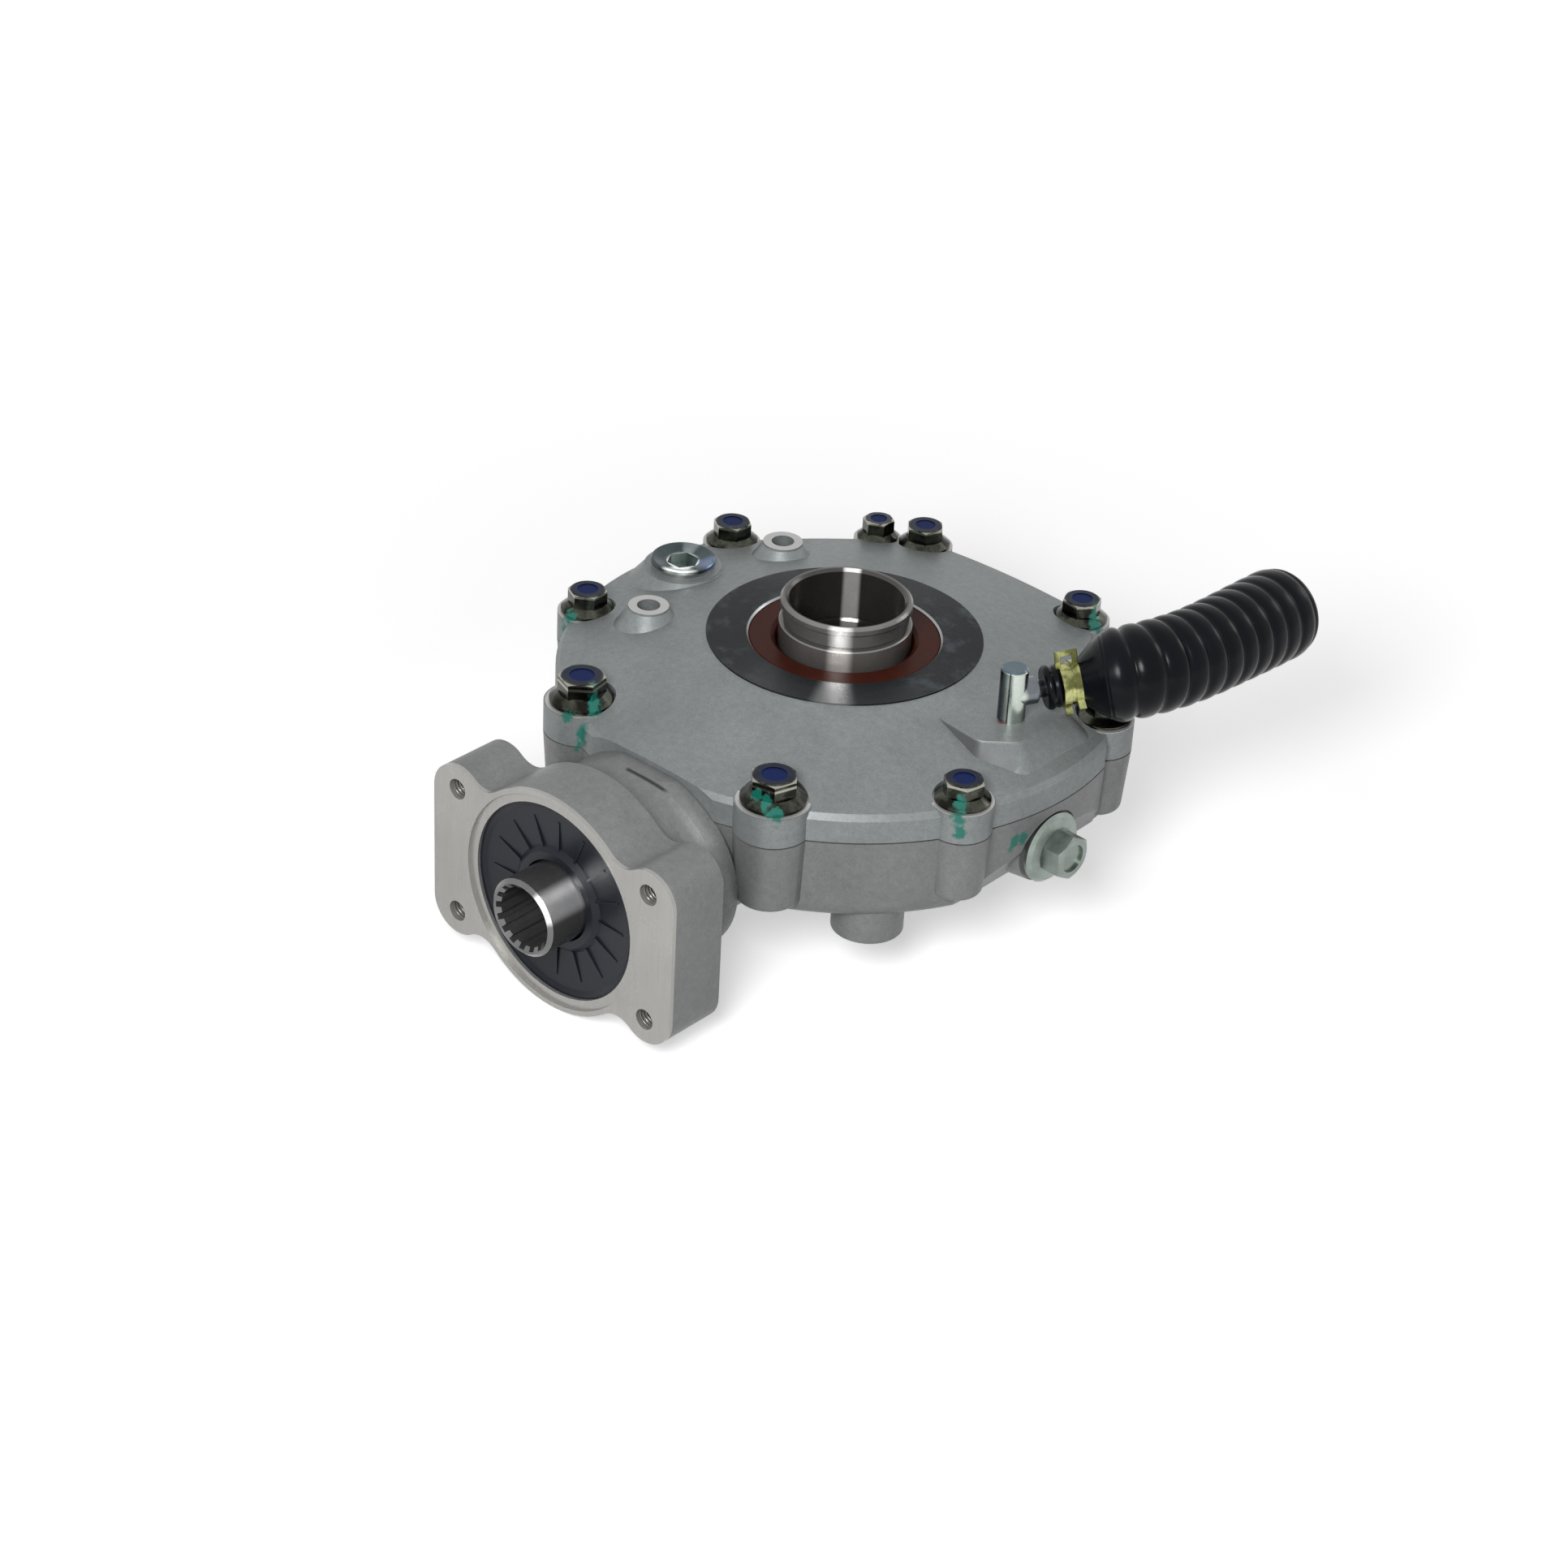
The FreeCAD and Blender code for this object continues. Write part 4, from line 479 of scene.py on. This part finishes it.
def softFinish(name, base, roughness, spread=0.2, scale=120, second=None, specular=0.3):
    paint = Paint(name, specular=specular)
    cloud = paint.noise(scale, *softGrain["clouds"])
    fine = paint.noise(*softGrain["fine"])
    color = paint.tone(base, cloud, spread)
    if second:
        patches = paint.ramp(fine, *softGrain["patchRange"], 0.0, softGrain["patchShare"])
        color = paint.blend(patches, color, second)
    rough = paint.spread(cloud, *(roughness * share for share in softGrain["rough"]))
    return paint.finish({"Base Color": color, "Roughness": rough,
                         "Normal": paint.bump(fine, softGrain["bump"], softGrain["depth"])})


sleeve = {
    # inside: the bore is painted darker than the outside, as shade inside it
    "side": srgb(100, 99, 97), "inside": srgb(74, 72, 70), "bore": 21.0 * mm, "boreSoft": 0.3 * mm,
    # outer: painted sheen and a painted highlight streak on the side facing the light
    "outer": ((0.2, 0.9, 1.0, srgb(128, 126, 124)), (0.975, 0.9992, 1.0, srgb(245, 243, 240))),
    # hollow: a painted highlight streak inside the bore
    "hollow": ((-0.984, -0.996, 1.0, srgb(245, 243, 240)),), "toolLines": (0, 0, 5200), "lineSpread": 0.07}


def sleeveTurningAndHighlights(paint, base):
    inner = paint.ramp(paint.outward(), sleeve["bore"] - sleeve["boreSoft"], sleeve["bore"], 1.0, 0.0)
    # painted sheen and highlights by the side that faces the light, and painted shade in the bore
    side = paint.facing(origin, upright, lightHeading)
    color = paint.blend(inner, paint.layers(base, side, sleeve["outer"]),
                        paint.layers(sleeve["inside"], side, sleeve["hollow"]))
    return paint.tone(color, paint.toolLines(sleeve["toolLines"]), sleeve["lineSpread"])


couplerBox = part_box("input_coupler")
coupler = {
    "side": srgb(112, 112, 112), "centre": tuple((couplerBox[0] + couplerBox[1]) / 2), "axis": (0, 1, 0),
    # lit: a painted highlight streak on the side that the heading points to
    "heading": (0.78, 0.0, 0.63), "lit": ((0.88, 0.985, 1.0, srgb(248, 248, 248)),),
    "toolLines": (0, 5200, 0), "lineSpread": 0.07}


def couplerTurningAndHighlight(paint, base):
    # a painted highlight along the side that faces the heading
    side = paint.facing(coupler["centre"], coupler["axis"], coupler["heading"])
    color = paint.layers(base, side, coupler["lit"])
    return paint.tone(color, paint.toolLines(coupler["toolLines"]), coupler["lineSpread"])


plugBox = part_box("fill_plug")
plug = {
    "centre": tuple((plugBox[0] + plugBox[1]) / 2), "reach": (plugBox[1].x - plugBox[0].x) / 2,
    # shade and lit: painted shade and a painted highlight on the dished top; sky: a painted sky reflection on
    # its right
    "shade": srgb(70, 80, 82), "lit": ((0.78, 0.96, 1.0, srgb(240, 246, 242)),),
    "right": (0.92, 0.38, 0.0), "sky": ((0.80, 0.98, 0.8, srgb(96, 112, 142)),),
    "far": (-0.45, 0.89, 0.0), "farRange": (0.93, 0.99, 0.6), "socket": (0.53, 0.5),
    # hollow: the socket is painted light, with its own painted highlight
    "hollow": srgb(150, 160, 158), "hollowLit": ((-0.4, 0.6, 1.0, srgb(240, 246, 242)),)}


def plugPlatingAndPaintedLight(paint, base):
    # painted shade, highlight and sky reflection round the plug's top, and a painted light socket
    near = paint.facing(plug["centre"], upright, lightHeading)
    right = paint.facing(plug["centre"], upright, plug["right"])
    far = paint.facing(plug["centre"], upright, plug["far"])
    color = paint.layers(plug["shade"], near, plug["lit"])
    color = paint.layers(color, right, plug["sky"])
    color = paint.layers(color, far, ((*plug["farRange"], base),))
    out = paint.vector("DISTANCE", paint.flat(), (*plug["centre"][:2], 0))
    inner = paint.ramp(out, *(plug["reach"] * share for share in plug["socket"]))
    return paint.blend(inner, color, paint.layers(plug["hollow"], near, plug["hollowLit"]))


def ventPlatingAndPaintedLight(paint, base):
    # a painted highlight on the front and painted shade on the left; the cap and the nipple keep their own
    # colours
    front = paint.facing(ventPin["centre"], upright, ventPin["front"])
    left = paint.facing(ventPin["centre"], upright, ventPin["left"])
    color = paint.layers(base, front, (ventPin["lit"],))
    color = paint.blend(paint.band(left, *ventPin["line"]), color, ventPin["shade"])
    color = paint.blend(paint.ramp(left, *ventPin["edge"]), color, ventPin["shade"])
    place = paint.axes()
    cap = paint.ramp(place["Z"], *(vent[1].z - below for below in ventPin["capBelow"]))
    nipple = paint.ramp(place["X"], *(ventPin["centre"][0] + past for past in ventPin["nipplePast"]))
    return paint.blend(nipple, paint.blend(cap, color, ventPin["cap"]), ventPin["nipple"])


finishes = {  # metals: colour, roughness, spread of the tone and scale of the clouds
    "cover": castAluminium("Cast cover", cast["cover"], ringMachiningAndHighlights, coverShadeAndSealant),
    "case": castAluminium("Cast case", cast["case"], flangeMachining, caseGapShade),
    "olive": metalFinish("Olive zinc", srgb(70, 72, 64), 0.22, 0.40, 260, second=srgb(34, 35, 30),
                         bump=0.10, marksAndPaintedLight=boltGlintAndMarks),
    "plug": metalFinish("Plug zinc", srgb(150, 158, 158), 0.26, 0.25, 120, bump=0.12, shape=plugPlatingAndPaintedLight),
    "vent": metalFinish("Vent zinc", srgb(112, 118, 122), 0.26, 0.10, 140, bump=0.06, shape=ventPlatingAndPaintedLight),
    "drain": metalFinish("Drain zinc", srgb(134, 143, 137), 0.34, 0.18, 140, bump=0.12),
    "sleeve": metalFinish("Turned steel", sleeve["side"], 0.26, 0.08, 70, metallic=0.65, bump=0.04,
                          shape=sleeveTurningAndHighlights),
    "coupler": metalFinish("Coupler steel", coupler["side"], 0.24, 0.08, 70, metallic=0.75, bump=0.04,
                           shape=couplerTurningAndHighlight),
    "gear": metalFinish("Gear steel", srgb(104, 102, 100), 0.32, 0.12, 90),
    "hard": metalFinish("Hard steel", srgb(120, 120, 122), 0.25, 0.08, 90),
    "bearing": metalFinish("Bearing steel", srgb(150, 150, 152), 0.15, 0.05, 90, bump=0.03),
    "soft": metalFinish("Soft aluminium", srgb(160, 160, 158), 0.35, 0.08, 90),
    "thread": metalFinish("Cut thread", srgb(150, 148, 144), 0.28, 0.10, 300),
    "clip": metalFinish("Yellow zinc", srgb(176, 178, 122), 0.30, 0.32, 240, second=srgb(96, 98, 58)),
    "bellows": softFinish("Bellows rubber", srgb(4, 6, 13), 0.24, 0.3, 70, srgb(12, 14, 22), 0.13),
    "seal": softFinish("Seal rubber", srgb(66, 26, 15), 0.34, 0.22, 90, srgb(40, 18, 13), 0.06),
    "shield": softFinish("Shield plastic", srgb(26, 29, 37), 0.36, 0.14, 60, srgb(24, 26, 33), 0.22),
    "paper": softFinish("Gasket paper", srgb(70, 72, 70), 0.8, 0.12),
    "cage": softFinish("Cage plastic", srgb(180, 168, 136), 0.45, 0.06),
    "paint": softFinish("Blue paint", srgb(12, 34, 88), 0.40, 0.35, 500, srgb(18, 44, 92), 0.06),
}
print("materials", len(finishes))

dress = {
    "cover": "cover", "case": "case", "cover_bolts_m8": "olive", "cover_bolts_m10": "olive",
    "cover_bolt_m6": "olive", "fill_plug": "plug", "fill_plug_gasket": "soft", "drain_plug": "drain",
    "drain_plug_gasket": "soft", "vent_fitting": "vent", "vent_clip": "clip", "vent_bellows": "bellows",
    "upper_oil_seal": "seal", "lower_oil_seal": "seal", "input_oil_seal": "seal", "dust_shield": "shield",
    "differential_case": "sleeve", "input_coupler": "coupler", "pinion_shaft": "gear", "ring_gear": "gear",
    "cover_gasket": "paper", "coupler_circlip": "hard", "ring_gear_bolts": "hard", "retainer_nut": "hard"}

slotDress = {"hard_steel": "hard", "gear_steel": "gear", "bearing_steel": "bearing",
             "cage_plastic": "cage"}

for nodeName, piece in frame["nodes"].items():
    choice = dress.get(nodeName)
    for place in piece.material_slots:
        slotName = place.material.name.split(".")[0]
        place.material = finishes[choice or slotDress.get(slotName, "hard")]
print("dressed", len(frame["nodes"]), "nodes")


def newTree(name, sizes):
    tree = bpy.data.node_groups.new(name, "GeometryNodeTree")
    tree.interface.new_socket("Geometry", in_out="INPUT", socket_type="NodeSocketGeometry")
    for label, size in sizes.items():
        kind = {tuple: "NodeSocketVector", int: "NodeSocketInt"}.get(type(size), "NodeSocketFloat")
        tree.interface.new_socket(label, in_out="INPUT", socket_type=kind)
    tree.interface.new_socket("Geometry", in_out="OUTPUT", socket_type="NodeSocketGeometry")
    return tree, tree.nodes.new("NodeGroupInput").outputs


def closeTree(tree, geometry, finish):
    real = addNode(tree, "GeometryNodeRealizeInstances", {"Geometry": geometry})
    dressed = addNode(tree, "GeometryNodeSetMaterial", {"Geometry": real.outputs[0], "Material": finish})
    addNode(tree, "NodeGroupOutput", {"Geometry": dressed.outputs[0]})


def grow(name, tree, sizes, points, attribute=None, edges=()):
    seeds = bpy.data.meshes.new(name)
    seeds.from_pydata([tuple(point) for point in points], list(edges), [])
    if attribute:
        label, values = attribute
        seeds.attributes.new(label, "FLOAT", "POINT").data.foreach_set("value", values)
    piece = bpy.data.objects.new(name, seeds)
    bpy.context.scene.collection.objects.link(piece)
    build = piece.modifiers.new("Build", "NODES")
    build.node_group = tree
    for item in tree.interface.items_tree:
        if item.in_out == "INPUT" and item.name in sizes:
            build[item.identifier] = sizes[item.name]
    bpy.context.view_layer.update()
    shape = piece.evaluated_get(bpy.context.evaluated_depsgraph_get())
    mesh = bpy.data.meshes.new_from_object(shape)
    piece.modifiers.clear()
    piece.data = mesh
    print(name, len(mesh.polygons), "faces")
    return piece


paintDabs = {"Paint share": 0.34, "Paint thickness": 0.36 * mm, "Sunk": 0.42 * mm, "Sides": 28}


def paintedTops():
    tree, given = newTree("Painted bolt tops", paintDabs)
    flats = addNode(tree, "GeometryNodeInputNamedAttribute", {"Name": "flats"}, data_type="FLOAT")
    disc = addNode(tree, "GeometryNodeMeshCylinder",
                   {"Vertices": given["Sides"], "Radius": given["Paint share"],
                    "Depth": given["Paint thickness"]})
    size = addNode(tree, "ShaderNodeCombineXYZ",
                   {"X": flats.outputs["Attribute"], "Y": flats.outputs["Attribute"], "Z": 1.0})
    dabs = addNode(tree, "GeometryNodeInstanceOnPoints",
                   {"Points": given["Geometry"], "Instance": disc.outputs["Mesh"], "Scale": size.outputs[0]})
    drop = addNode(tree, "ShaderNodeMath", {0: given["Sunk"], 1: -1.0}, operation="MULTIPLY")
    lower = addNode(tree, "ShaderNodeCombineXYZ", {"Z": drop.outputs[0]})
    moved = addNode(tree, "GeometryNodeTranslateInstances",
                    {"Instances": dabs.outputs[0], "Translation": lower.outputs[0]})
    closeTree(tree, moved.outputs[0], finishes["paint"])
    heads = boltHeads.values()
    tops = grow("painted_bolt_tops", tree, paintDabs, [head["centre"] for head in heads],
                ("flats", [head["flats"] for head in heads]))
    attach(tops, "housing")


flangeThreads = {"Hole radius": 3.62 * mm, "Pitch": 1.25 * mm, "Turns": 9.0, "Ridge": 0.34 * mm,
                 "Lay": (math.radians(-90), 0.0, 0.0), "Turn points": 24, "Ridge sides": 4}
bossThreads = {"Hole radius": 4.02 * mm, "Pitch": 1.25 * mm, "Turns": 8.0, "Ridge": 0.34 * mm,
               "Lay": (0.0, 0.0, 0.0), "Turn points": 24, "Ridge sides": 4}


def cutThreads(name, sizes, places):
    tree, given = newTree(name, sizes)
    rise = addNode(tree, "ShaderNodeMath", {0: given["Pitch"], 1: given["Turns"]}, operation="MULTIPLY")
    coil = addNode(tree, "GeometryNodeCurveSpiral",
                   {"Resolution": given["Turn points"], "Rotations": given["Turns"],
                    "Start Radius": given["Hole radius"], "End Radius": given["Hole radius"],
                    "Height": rise.outputs[0]})
    crest = addNode(tree, "GeometryNodeCurvePrimitiveCircle",
                    {"Resolution": given["Ridge sides"], "Radius": given["Ridge"]})
    ridge = addNode(tree, "GeometryNodeCurveToMesh",
                    {"Curve": coil.outputs["Curve"], "Profile Curve": crest.outputs["Curve"],
                     "Fill Caps": True})
    threads = addNode(tree, "GeometryNodeInstanceOnPoints",
                      {"Points": given["Geometry"], "Instance": ridge.outputs["Mesh"],
                       "Rotation": given["Lay"]})
    closeTree(tree, threads.outputs[0], finishes["thread"])
    piece = grow(name, tree, sizes, places)
    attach(piece, "housing")


bellows = {  # lengths in mm; outline is the reach from the middle line at each length along it
    "route": ((75.9, 11.4, 6.5), (84.0, 22.4, 8.6), (95.6, 33.0, 12.4), (101.2, 50.5, 12.4),
              (103.8, 71.0, 12.6), (105.6, 107.5, 12.4)),
    "outline": ((0.0, 6.6), (0.7, 7.3), (1.8, 7.6), (2.6, 7.1), (3.1, 6.7), (3.6, 7.1), (4.4, 7.2),
                (5.1, 6.5), (5.5, 6.2), (11.6, 6.2), (12.1, 7.2), (13.0, 8.0), (18.0, 12.4), (21.5, 15.0),
                (24.5, 15.7), (60.0, 15.6), (90.0, 16.0), (112.0, 16.1), (140.0, 16.0)),
    "easedFrom": 20.0, "ribs": 12, "firstRib": 20.5, "lastRib": 106.0, "deep": 1.7, "shallow": 0.75,
    "shallower": 0.6, "roundness": 2.6, "ribsGrow": 9, "ribsStart": 0.25, "end": 8.0, "endOpen": 0.985,
    "routePoints": 48, "step": 0.4}
bellowsSizes = {"Ring points": 72}


def routeLine(corners):
    line = bpy.data.curves.new("route", "CURVE")
    line.dimensions = "3D"
    line.resolution_u = bellows["routePoints"]
    spline = line.splines.new("NURBS")
    spline.points.add(len(corners) - 1)
    for point, corner in zip(spline.points, corners):
        point.co = tuple(part * mm for part in corner) + (1.0,)
    spline.order_u = 3
    spline.use_endpoint_u = True
    holder = bpy.data.objects.new("route", line)
    bpy.context.scene.collection.objects.link(holder)
    bpy.context.view_layer.update()
    mesh = bpy.data.meshes.new_from_object(holder.evaluated_get(bpy.context.evaluated_depsgraph_get()))
    points = [vert.co.copy() for vert in mesh.vertices]
    bpy.data.objects.remove(holder)
    bpy.data.meshes.remove(mesh)
    return points


def walk(points, step):  # spots at even steps along the points
    spots, left = [points[0]], step
    for before, after in zip(points, points[1:]):
        run = (after - before).length
        while run >= left:
            spots.append(before.lerp(after, left / run))
            run -= left
            before = spots[-1]
            left = step
        left -= run
    return spots


def bellowsReach(along, length):
    outline = bellows["outline"]
    roundness = bellows["roundness"]
    reach = outline[-1][1]
    for (start, first), (end, second) in zip(outline, outline[1:]):
        if start <= along <= end:
            share = (along - start) / (end - start)
            share = share * share * (3 - 2 * share) if start > bellows["easedFrom"] else share
            reach = first + (second - first) * share
            break
    if bellows["firstRib"] <= along <= bellows["lastRib"]:  # the first ribs grow in, the last are shallow
        place = (along - bellows["firstRib"]) / (bellows["lastRib"] - bellows["firstRib"])
        rib = (place * bellows["ribs"]) % 1.0
        depth = bellows["deep"] + (bellows["shallow"] - bellows["deep"]) * place ** bellows["shallower"]
        grown = min(1.0, place * bellows["ribsGrow"] + bellows["ribsStart"])
        reach -= depth * (abs(2 * rib - 1) ** roundness) * grown
    closing = (along - (length - bellows["end"])) / bellows["end"]
    if closing > 0:  # the rounded end
        reach *= (1 - min(closing, bellows["endOpen"]) ** roundness) ** (1 / roundness)
    return reach


def softBellows(route):
    tree, given = newTree("Bellows", bellowsSizes)
    line = addNode(tree, "GeometryNodeMeshToCurve", {"Mesh": given["Geometry"]})
    reach = addNode(tree, "GeometryNodeInputNamedAttribute", {"Name": "reach"}, data_type="FLOAT")
    hoop = addNode(tree, "GeometryNodeCurvePrimitiveCircle",
                   {"Resolution": given["Ring points"], "Radius": 1.0})
    skin = addNode(tree, "GeometryNodeCurveToMesh",
                   {"Curve": line.outputs["Curve"], "Profile Curve": hoop.outputs["Curve"],
                    "Scale": reach.outputs["Attribute"], "Fill Caps": True})
    smooth = addNode(tree, "GeometryNodeSetShadeSmooth", {"Geometry": skin.outputs["Mesh"]})
    closeTree(tree, smooth.outputs["Geometry"], finishes["bellows"])
    step = bellows["step"]
    spots = walk(route, step * mm)
    length = (len(spots) - 1) * step
    reaches = [bellowsReach(index * step, length) * mm for index in range(len(spots))]
    edges = [(index, index + 1) for index in range(len(spots) - 1)]
    piece = grow("bellows", tree, bellowsSizes, spots, ("reach", reaches), edges)
    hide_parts("vent_bellows")
    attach(piece, "housing")


clipTab = {  # the folded ear on the clip's band, in mm
    "along": (4.4, 12.0), "step": 0.1, "foot": 7.2, "sunk": 0.6, "tall": 6.0, "bar": 1.9, "thick": 0.9,
    "lean": 4, "overlap": 0.2, "bevel": 0.18, "bevelSteps": 2, "bevelProfile": 0.6}
boxFaces = ((0, 1, 3, 2), (4, 6, 7, 5), (0, 4, 5, 1), (2, 3, 7, 6), (0, 2, 6, 4), (1, 5, 7, 3))


def springTab(route):
    spots = walk(route, clipTab["step"] * mm)
    low, high = (spots[round(part / clipTab["step"])] for part in clipTab["along"])
    along = (high - low).normalized()
    level = along.cross(Vector(upright)).normalized()
    turn = math.radians(clipTab["lean"])
    rise = level.cross(along) * math.cos(turn) + level * math.sin(turn)
    side = along.cross(rise)
    middle = (low + high) / 2
    half = (high - low).length / mm / 2
    foot, top = clipTab["foot"] - clipTab["sunk"], clipTab["foot"] + clipTab["tall"]
    bar, thick = clipTab["bar"], clipTab["thick"] / 2
    inner = half - bar + clipTab["overlap"]
    mesh = bmesh.new()
    for ends, heights in (((-half, -half + bar), (foot, top)), ((half - bar, half), (foot, top)),
                          ((-inner, inner), (top - bar, top))):
        corners = [mesh.verts.new(middle + (along * a + rise * b + side * c) * mm)
                   for a in ends for b in heights for c in (-thick, thick)]
        for face in boxFaces:
            mesh.faces.new([corners[index] for index in face])
    bmesh.ops.recalc_face_normals(mesh, faces=mesh.faces)
    bmesh.ops.bevel(mesh, geom=list(mesh.edges), offset=clipTab["bevel"] * mm,
                    segments=clipTab["bevelSteps"], profile=clipTab["bevelProfile"], affect="EDGES")
    data = bpy.data.meshes.new("spring_tab")
    mesh.to_mesh(data)
    mesh.free()
    data.materials.append(finishes["clip"])
    piece = bpy.data.objects.new("spring_tab", data)
    bpy.context.scene.collection.objects.link(piece)
    print("spring_tab", len(data.polygons), "faces")
    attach(piece, "housing")


middleLine = routeLine(bellows["route"])
paintedTops()
softBellows(middleLine)
springTab(middleLine)
cutThreads("flange_threads", flangeThreads,
           [Vector((x * mm, flangeFace + flange["threadsFrom"], z * mm)) for x, z in flange["holes"]])
cutThreads("boss_threads", bossThreads,
           [Vector((tappedBosses["x"], y, tappedBosses["threadsFrom"])) * mm for y in tappedBosses["y"]])

ground = {"radius": 4.0, "sides": 96, "gap": 0.5 * mm, "shown": (0.95, 0.95, 0.95, 1),
          "lit": (0.32, 0.32, 0.32, 1), "glow": (0.50, 1.0), "glowRange": (0.2, 0.9)}
sky = {"level": 0.20, "color": white}
lamps = {"Key": {"azimuth": 28, "elevation": 33, "distance": 0.9, "size": 0.31, "watts": 5.7},
         "Back": {"azimuth": 160, "elevation": 26, "distance": 1.8, "size": 0.6, "watts": 2.6}}
shot = {"azimuth": 40.4813, "elevation": 31.7269, "roll": 3.1721, "place": (673.235, -815.912, 593.178),
        "lens": 82.6386, "sensor": 36}


def floor():  # pale where it is seen, darker to the light that it throws back at the part
    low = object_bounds()[0].z
    bpy.ops.mesh.primitive_circle_add(vertices=ground["sides"], radius=ground["radius"], fill_type="NGON",
                                      location=(0, 0, low - ground["gap"]))
    disc = bpy.context.object
    disc.name = "floor"
    paint = Paint("Floor", roughness=1.0, specular=0.0)
    seen = paint.node("ShaderNodeLightPath").outputs
    shown = paint.maths("MAXIMUM", seen["Is Camera Ray"], seen["Is Glossy Ray"])
    level = paint.ramp(paint.vector("LENGTH", paint.coords), *ground["glowRange"], *ground["glow"], False)
    disc.data.materials.append(paint.finish({
        "Base Color": paint.blend(shown, ground["lit"], ground["shown"]), "Emission Color": white,
        "Emission Strength": paint.times(shown, level)}))
    disc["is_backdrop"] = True


def world():  # seen straight or in a reflection the sky is white, and it lights the part more weakly
    studio = bpy.data.worlds.new("Studio")
    bpy.context.scene.world = studio
    studio.use_nodes = True
    tree = studio.node_tree
    seen = addNode(tree, "ShaderNodeLightPath").outputs
    total = seen["Is Camera Ray"]
    for name in ("Is Glossy Ray", "Is Transmission Ray"):
        total = addNode(tree, "ShaderNodeMath", {0: total, 1: seen[name]}, operation="MAXIMUM").outputs[0]
    level = addNode(tree, "ShaderNodeMapRange", {"Value": total, "To Min": sky["level"], "To Max": 1.0})
    back = tree.nodes["Background"]
    put(tree, back.inputs["Color"], sky["color"])
    put(tree, back.inputs["Strength"], level.outputs["Result"])


def direction(azimuth, elevation):  # azimuth 0 looks along +Y, from the front
    azimuth, elevation = math.radians(azimuth), math.radians(elevation)
    return Vector((math.sin(azimuth) * math.cos(elevation), -math.cos(azimuth) * math.cos(elevation),
                   math.sin(elevation)))


def lamp(name, settings):
    data = bpy.data.lights.new(name, "AREA")
    data.shape = "DISK"
    data.size = settings["size"]
    data.energy = settings["watts"]
    holder = bpy.data.objects.new(name, data)
    bpy.context.scene.collection.objects.link(holder)
    holder.location = direction(settings["azimuth"], settings["elevation"]) * settings["distance"]
    holder.rotation_euler = (-holder.location).to_track_quat("-Z", "Y").to_euler()


def camera():
    back = direction(shot["azimuth"], shot["elevation"])
    azimuth, roll = math.radians(shot["azimuth"]), math.radians(shot["roll"])
    level = Vector((math.cos(azimuth), math.sin(azimuth), 0))
    above = back.cross(level)
    right = level * math.cos(roll) + above * math.sin(roll)
    top = above * math.cos(roll) - level * math.sin(roll)
    data = bpy.data.cameras.new("Camera")
    data.sensor_width = shot["sensor"]
    data.lens = shot["lens"]
    holder = bpy.data.objects.new("Camera", data)
    bpy.context.scene.collection.objects.link(holder)
    turn = Matrix((right, top, back)).transposed().to_4x4()
    holder.matrix_world = Matrix.Translation(Vector(shot["place"]) * mm) @ turn
    bpy.context.scene.camera = holder


floor()
world()
for name, settings in lamps.items():
    lamp(name, settings)
camera()
print("stage", len(lamps), "lamps")

bpy.context.scene.view_settings.view_transform = "Standard"
